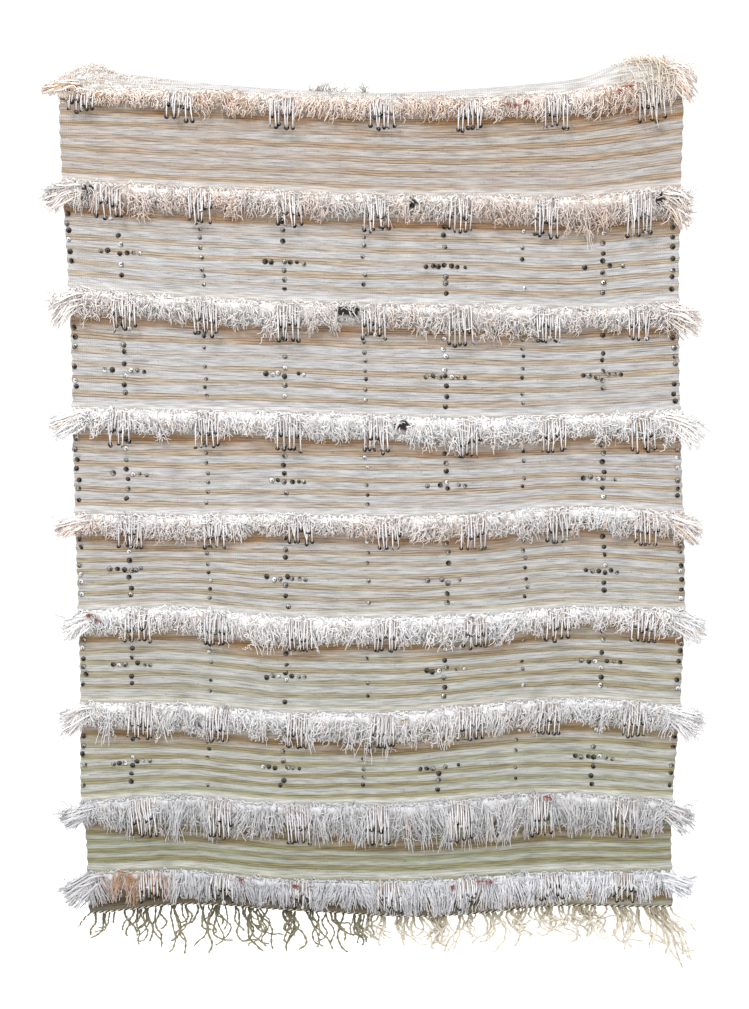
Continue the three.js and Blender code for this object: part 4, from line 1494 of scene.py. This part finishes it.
def twined(axis):
    """Two plies round an axis, as one part."""
    path = evenly(axis, TWINE_STEP)
    along = unit(np.gradient(path, axis=0))
    rise = unit(np.cross(along, [0, 1, 0]))
    deep = np.cross(rise, along)
    turn = np.arange(len(path)) * TWINE_STEP / PLY["pitch"] * math.tau
    parts = []
    for start, yarn in ((0, BLACK_YARN), (math.pi, CREAM_YARN)):
        ring = np.cos(turn + start)[:, None] * rise + np.sin(turn + start)[:, None] * deep
        parts.append((*swept([path + PLY["off_axis"] * ring], PLY["radius"], PLY["sides"]), yarn))
    return gathered(parts)


lower_hem = hem_line(0)
upper_hem = hem_line(-1)
lower_axis = lower_hem[0] + lower_hem[1] * CORD_SEAT
upper_axis = upper_hem[0] + upper_hem[1] * CORD_SEAT
tail = np.array([lower_axis[0] + [-out, -out / 6, -fall] for out, fall in reversed(CORD_TAIL)])
lower_twine = twined(np.concatenate([tail, lower_axis]))
lower_cord = make_piece("hem_twining_lower", lower_twine, CORD_YARN, "hem_cord_lower")
upper_cord = make_piece("hem_twining_upper", twined(upper_axis), CORD_YARN, "hem_cord_upper")

# %% [markdown]
# Below the cord the warps are left as a fringe. Each is a two-ply yarn that was held straight
# by the loom and has kinked since. A single smooth tube would look like wire, so its path is
# drawn by turning a little at each step, and two thin plies wind round that path. Yarns that
# hang close together cling and wander alike.

# %% Loose warp yarns
YARN_STEPS = 13
PLY_TURN = 1.9
OLIVE_YARN = srgb(140, 134, 106)
OLIVE_ROOT = srgb(82, 76, 58)
ECRU_YARN = srgb(225, 216, 198)
ECRU_ROOT = srgb(156, 146, 120)


def kinked(starts, headings, lengths, kink, clump, luck):
    """Paths that head off from straight down and wander. Yarns of one clump wander alike."""
    count = len(starts)
    t = np.linspace(0, 1, YARN_STEPS)
    clumps = clump.max() + 1
    waves = luck.uniform(0.5, 1.2, (clumps, 1))[clump] + luck.normal(0, 0.15, (count, 1))
    start_turn = luck.uniform(0, math.tau, (clumps, 1))[clump] + luck.normal(0, 0.5, (count, 1))
    late = luck.uniform(2.4, 4.2, (count, 1))
    angle = headings[:, None] * (0.4 + t)
    angle = angle + kink[:, None] * np.sqrt(t) * np.sin(math.tau * waves * t + start_turn) * 1.3
    angle += 0.25 * kink[:, None] * np.sin(math.tau * late * t + luck.uniform(0, math.tau, (count, 1)))
    depth = 0.35 * np.sin(math.tau * waves * 0.7 * t + luck.uniform(0, math.tau, (count, 1)))
    ways = np.stack([np.sin(angle), depth, -np.cos(angle)], -1)
    steps = ways * (lengths / (YARN_STEPS - 1))[:, None, None]
    steps[:, 0] = 0
    return starts[:, None] + np.cumsum(steps, axis=1)


def two_ply(paths, radius, dyes, luck):
    """Both plies of many yarns, as paths, radii and dyes."""
    count, steps = paths.shape[:2]
    turn = luck.uniform(0, math.tau, (count, 1)) + np.arange(steps) * PLY_TURN
    ring = np.stack([np.cos(turn), np.sin(turn), np.zeros_like(turn)], -1) * 0.75 * radius[:, None, None]
    both = np.concatenate([paths + ring, paths - ring])
    radii = np.tile(radius[:, None] * np.linspace(0.95, 0.75, steps), (2, 1))
    return both, radii, np.tile(dyes, (2, 1, 1))


def blend_dye(root, tip, luck):
    """A dye for each point: the root's colour fades into the tip's within the first part."""
    fade = np.clip(np.linspace(0, 2.2, YARN_STEPS), 0, 1)[None, :, None]
    dyes = root[:, None] + (tip - root)[:, None] * fade
    return np.clip(dyes * luck.uniform(0.88, 1.06, (len(root), 1, 1)), 0, 1)


print("points along a loose yarn:", YARN_STEPS)

# %% [markdown]
# The lower fringe starts just under the cord. On the left its ends are olive and hang apart.
# Towards the right they are ecru, denser and tangled, and at the corner they sweep outwards.
# Lengths, leans and kinks are read from short tables across the blanket.

# %% Lower warp fringe
LOWER_FRINGE = {
    "count": 226,
    "clump": 21,
    "length": [46, 92, 92, 64, 84, 86, 128],
    "heading": [-0.35, -0.05, 0.12, 0.2, 0.2, 0.3, 0.62],
    "kink": [0.6, 0.85, 0.8, 0.9, 1.2, 1.2, 0.45],
    "ecru_from": -30,
    "ecru_share": 0.67,
}
FRINGE_REACH = 4.6


def on_hem(hem, x):
    """The place beyond a hem's cord where the warp at each place across comes out."""
    points, off = hem
    column = np.interp(x, sheet_x, np.arange(columns))
    k = np.minimum(column.astype(int), columns - 2)
    t = (column - k)[:, None]
    return points[k] * (1 - t) + points[k + 1] * t + off[k] * FRINGE_REACH


def lower_fringe_part(luck):
    count = LOWER_FRINGE["count"]
    ecru_from = LOWER_FRINGE["ecru_from"]
    in_ecru = luck.random(count) < LOWER_FRINGE["ecru_share"]
    on_right = luck.uniform(ecru_from, HALF_WIDTH - 2, count)
    on_left = luck.uniform(-HALF_WIDTH + 4, ecru_from + 10, count)
    x = np.where(in_ecru, on_right, on_left)
    x += 6 * np.sin(x / 12)
    ecru = soft_step((x - ecru_from + 20) / 60)[:, None]
    starts = on_hem(lower_hem, x) + luck.normal(0, 0.7, (count, 3)) * [0, 1, 0]
    lengths = across(LOWER_FRINGE["length"], x) * luck.uniform(0.45, 1.2, count)
    headings = across(LOWER_FRINGE["heading"], x) + luck.normal(0, 0.22, count)
    kinks = across(LOWER_FRINGE["kink"], x) * luck.uniform(0.6, 1.2, count)
    clump = ((x + HALF_WIDTH) / LOWER_FRINGE["clump"]).astype(int)
    paths = kinked(starts, headings, lengths, kinks, clump, luck)
    tip = OLIVE_YARN + (ECRU_YARN - OLIVE_YARN) * ecru
    root = OLIVE_ROOT + (ECRU_ROOT - OLIVE_ROOT) * ecru
    radius = luck.uniform(1.6, 2.3, count)
    return yarns(two_ply(paths, radius, blend_dye(root, tip, luck), luck))


lower_yarns = lower_fringe_part(np.random.default_rng(41))
lower_fringe = make_piece("warp_ends_lower", lower_yarns, WARP_YARN, "warp_fringe_lower")

# %% [markdown]
# The other end of the warp hangs behind, inside the fold's shadow. It is only seen from the
# back, but the same yarns make it.

# %% Upper warp fringe
UPPER_FRINGE = {"count": 84, "length": [30, 46, 54, 58, 52, 46, 30], "back": 3.0}


def upper_fringe_part(luck):
    count = UPPER_FRINGE["count"]
    x = np.sort(luck.uniform(-HALF_WIDTH + 4, HALF_WIDTH - 4, count))
    lengths = across(UPPER_FRINGE["length"], x) * luck.uniform(0.7, 1.15, count)
    headings = luck.normal(0, 0.15, count)
    kinks = luck.uniform(0.2, 0.5, count)
    paths = kinked(on_hem(upper_hem, x), headings, lengths, kinks, np.arange(count), luck)
    paths[..., 1] += UPPER_FRINGE["back"] * np.linspace(0, 1, YARN_STEPS)
    dyes = blend_dye(np.tile(ECRU_ROOT, (count, 1)), np.tile(ECRU_YARN, (count, 1)), luck)
    return yarns(two_ply(paths, luck.uniform(0.95, 1.2, count), dyes, luck))


upper_yarns = upper_fringe_part(np.random.default_rng(43))
upper_fringe = make_piece("warp_ends_upper", upper_yarns, WARP_YARN, "warp_fringe_upper")

# %% [markdown]
# Some ecru warp ends fell forward over the right corner. They lie on the sheet that is already
# there, so one function reads the sheet between its lines: how far across, and which line.
# Each strand runs from just behind the crest to near the first row's root line.

# %% Strands over the right corner
CREST_LINE = lines - 1 - BACK["lines"]
ROOT_LINE = CREST_LINE - SHOULDER["lines"]
CORNER = {"count": 20, "x": (484, 556), "drift": (4, 40), "first": (0.5, 4), "last": (-8.5, 6)}
CORNER_YARN = srgb(238, 227, 210)


def on_sheet(x, line, off):
    """A point off the sheet's outer face at a place across and between its lines."""
    column = np.interp(x, sheet_x, np.arange(columns))
    i = np.minimum(column.astype(int), columns - 2)
    j = np.clip(line.astype(int), 0, lines - 2)
    u = (column - i)[..., None]
    v = (line - j)[..., None]

    def read(grid):
        low = grid[j, i] * (1 - u) + grid[j, i + 1] * u
        high = grid[j + 1, i] * (1 - u) + grid[j + 1, i + 1] * u
        return low * (1 - v) + high * v

    return read(sheet) + read(out_of_face) * (CLOTH / 2 + off)[..., None]


def corner_part(luck):
    each = (CORNER["count"], 1)
    t = np.linspace(0, 1, YARN_STEPS)
    corner_x = luck.uniform(*CORNER["x"], each)
    drift = luck.uniform(*CORNER["drift"], each)
    wide = luck.uniform(3, 8, each)
    x = corner_x + drift * t + wide * np.sin(luck.uniform(3, 8, each) * t + corner_x)
    first = CREST_LINE + luck.uniform(*CORNER["first"], each)
    last = ROOT_LINE + luck.uniform(*CORNER["last"], each)
    off = 2 + luck.uniform(18, 24, each) * np.clip(t * 1.5 - 0.2, 0, 1) + luck.normal(0, 0.8, x.shape)
    paths = on_sheet(np.minimum(x, HALF_WIDTH - 4), first + (last - first) * t, np.maximum(off, 1.6))
    radius = luck.uniform(0.5, 0.95, CORNER["count"])
    plain_dye = np.tile(CORNER_YARN, each)
    return yarns(two_ply(paths, radius, blend_dye(plain_dye, plain_dye, luck), luck))


strands = corner_part(np.random.default_rng(47))
corner_ends = make_piece("corner_warp_ends", strands, WARP_YARN, "corner_strands")

# %% [markdown]
# Wool has felted into fluff at both corners and in a few tufts on the crown. A see-through
# shell could pass for it from afar, but not from near. So it is drawn as what it is, many
# short curly fibres that leave the wool at any angle. Each patch has a place, a spread, a
# number of fibres, a length and a dye. The tufts of red are left from yarns that once marked
# the rows.

# %% Fluff and red tufts
PINK_FLUFF = srgb(250, 240, 233)
ECRU_FLUFF = srgb(232, 214, 186)
WHITE_FLUFF = srgb(246, 242, 236)
TAN_FLUFF = srgb(206, 168, 130)
DRY_FLUFF = srgb(168, 156, 134)
RED_WOOL = srgb(150, 62, 48)
# Place across, sheet lines above the first row, spread of both, number, length and dye
FLUFF = [
    (-545, 7, 38, 6, 420, 12, PINK_FLUFF),
    (-470, 5, 60, 4, 160, 9, PINK_FLUFF),
    (-560, 4, 30, 3, 60, 10, TAN_FLUFF),
    (545, 7, 36, 8, 300, 18, ECRU_FLUFF),
    (585, 2, 16, 6, 200, 17, WHITE_FLUFF),
    (490, 11, 12, 2, 50, 12, PINK_FLUFF),
    (-92, 12, 16, 1.5, 50, 21, DRY_FLUFF),
    (-14, 12, 3, 1, 16, 21, DRY_FLUFF),
]
# Row, place across and how far below the root line
RED_TUFTS = [
    (0, 262, 12),
    (0, 280, 14),
    (0, 296, 10),
    (0, 478, 6),
    (0, 496, 2),
    (5, -574, 2),
    (5, -560, 12),
    (7, 346, 0),
    (8, -280, 0),
    (8, -170, 3),
    (8, 144, 6),
    (8, 204, 0),
    (8, 224, 2),
]
RED_ENDS = 13
RED_OFF = 13.0
FIBRE_STEPS = 5


def curly(starts, outs, lengths, luck):
    """Short curly fibres that leave their start along a given way."""
    count = len(starts)
    t = np.linspace(0, 1, FIBRE_STEPS)[None, :, None]
    side = unit(np.cross(outs, luck.normal(0, 1, (count, 3))))
    rise = np.cross(outs, side)
    turn = luck.uniform(2, 7, (count, 1, 1)) * t + luck.uniform(0, math.tau, (count, 1, 1))
    bow = (np.cos(turn) - np.cos(turn[:, :1])) * side[:, None]
    bow = bow + (np.sin(turn) - np.sin(turn[:, :1])) * rise[:, None]
    reach = lengths[:, None, None]
    return starts[:, None] + outs[:, None] * reach * t + bow * reach * 0.22


def fibres(starts, outs, lengths, dye, radii, luck):
    """Curly fibres as one part, each of one dye and thinner towards its tip."""
    count = len(starts)
    dyes = np.clip(np.repeat(dye[:, None], FIBRE_STEPS, axis=1), 0, 1)
    tapered = np.broadcast_to(np.linspace(*radii, FIBRE_STEPS), (count, FIBRE_STEPS))
    return yarns((curly(starts, outs, lengths, luck), tapered, dyes))


def fluff_patch(patch, luck):
    patch_x, patch_line, spread_x, spread_line, count, length, dye = patch
    x = np.clip(luck.normal(patch_x, spread_x, count), -HALF_WIDTH, HALF_WIDTH)
    line = ROOT_LINE + np.clip(luck.normal(patch_line, spread_line, count), -2, SHOULDER["lines"] + 3)
    starts = on_sheet(x, line, np.full(count, -0.5))
    away = unit(on_sheet(x, line, np.full(count, 5.0)) - starts)
    outs = unit(away * 0.55 + luck.normal(0, 0.6, (count, 3)))
    lengths = length * luck.uniform(0.4, 1.2, count)
    return fibres(starts, outs, lengths, dye * luck.uniform(0.9, 1.03, (count, 1)), (0.9, 0.4), luck)


def red_tuft(tuft, luck):
    row_index, tuft_x, below = tuft
    x = luck.normal(tuft_x, 3, RED_ENDS)
    down = np.full(RED_ENDS, ROOTS_DOWN[row_index] + below, float)
    starts, away = on_front(x, down, np.full(RED_ENDS, RED_OFF))
    outs = unit(away + luck.normal(0, 0.5, (RED_ENDS, 3)) - [0, 0, 0.4])
    dye = RED_WOOL * luck.uniform(0.8, 1.15, (RED_ENDS, 1))
    return fibres(starts, outs, luck.uniform(5, 9, RED_ENDS), dye, (1.0, 0.6), luck)


luck = np.random.default_rng(53)
parts = [fluff_patch(patch, luck) for patch in FLUFF] + [red_tuft(tuft, luck) for tuft in RED_TUFTS]
fluff = make_piece("fluff_and_red_tufts", gathered(parts), PILE_WOOL)

# %% [markdown]
# Last, all that is knotted, sewn or twined to the ground is gathered in one list. The size of
# the solids and of all that was made here are kept side by side, so that a piece that has grown
# out of place shows up as a number.

# %% Finish
with_ground = [*pile_pieces, *tassel_pieces, sewn_discs, lower_cord, upper_cord]
with_ground += [lower_fringe, upper_fringe, corner_ends, fluff]
visual_low, visual_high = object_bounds()
sizes = {"cad": [list(cad_low), list(cad_high)], "visual": [list(visual_low), list(visual_high)]}
print("size:", sizes)
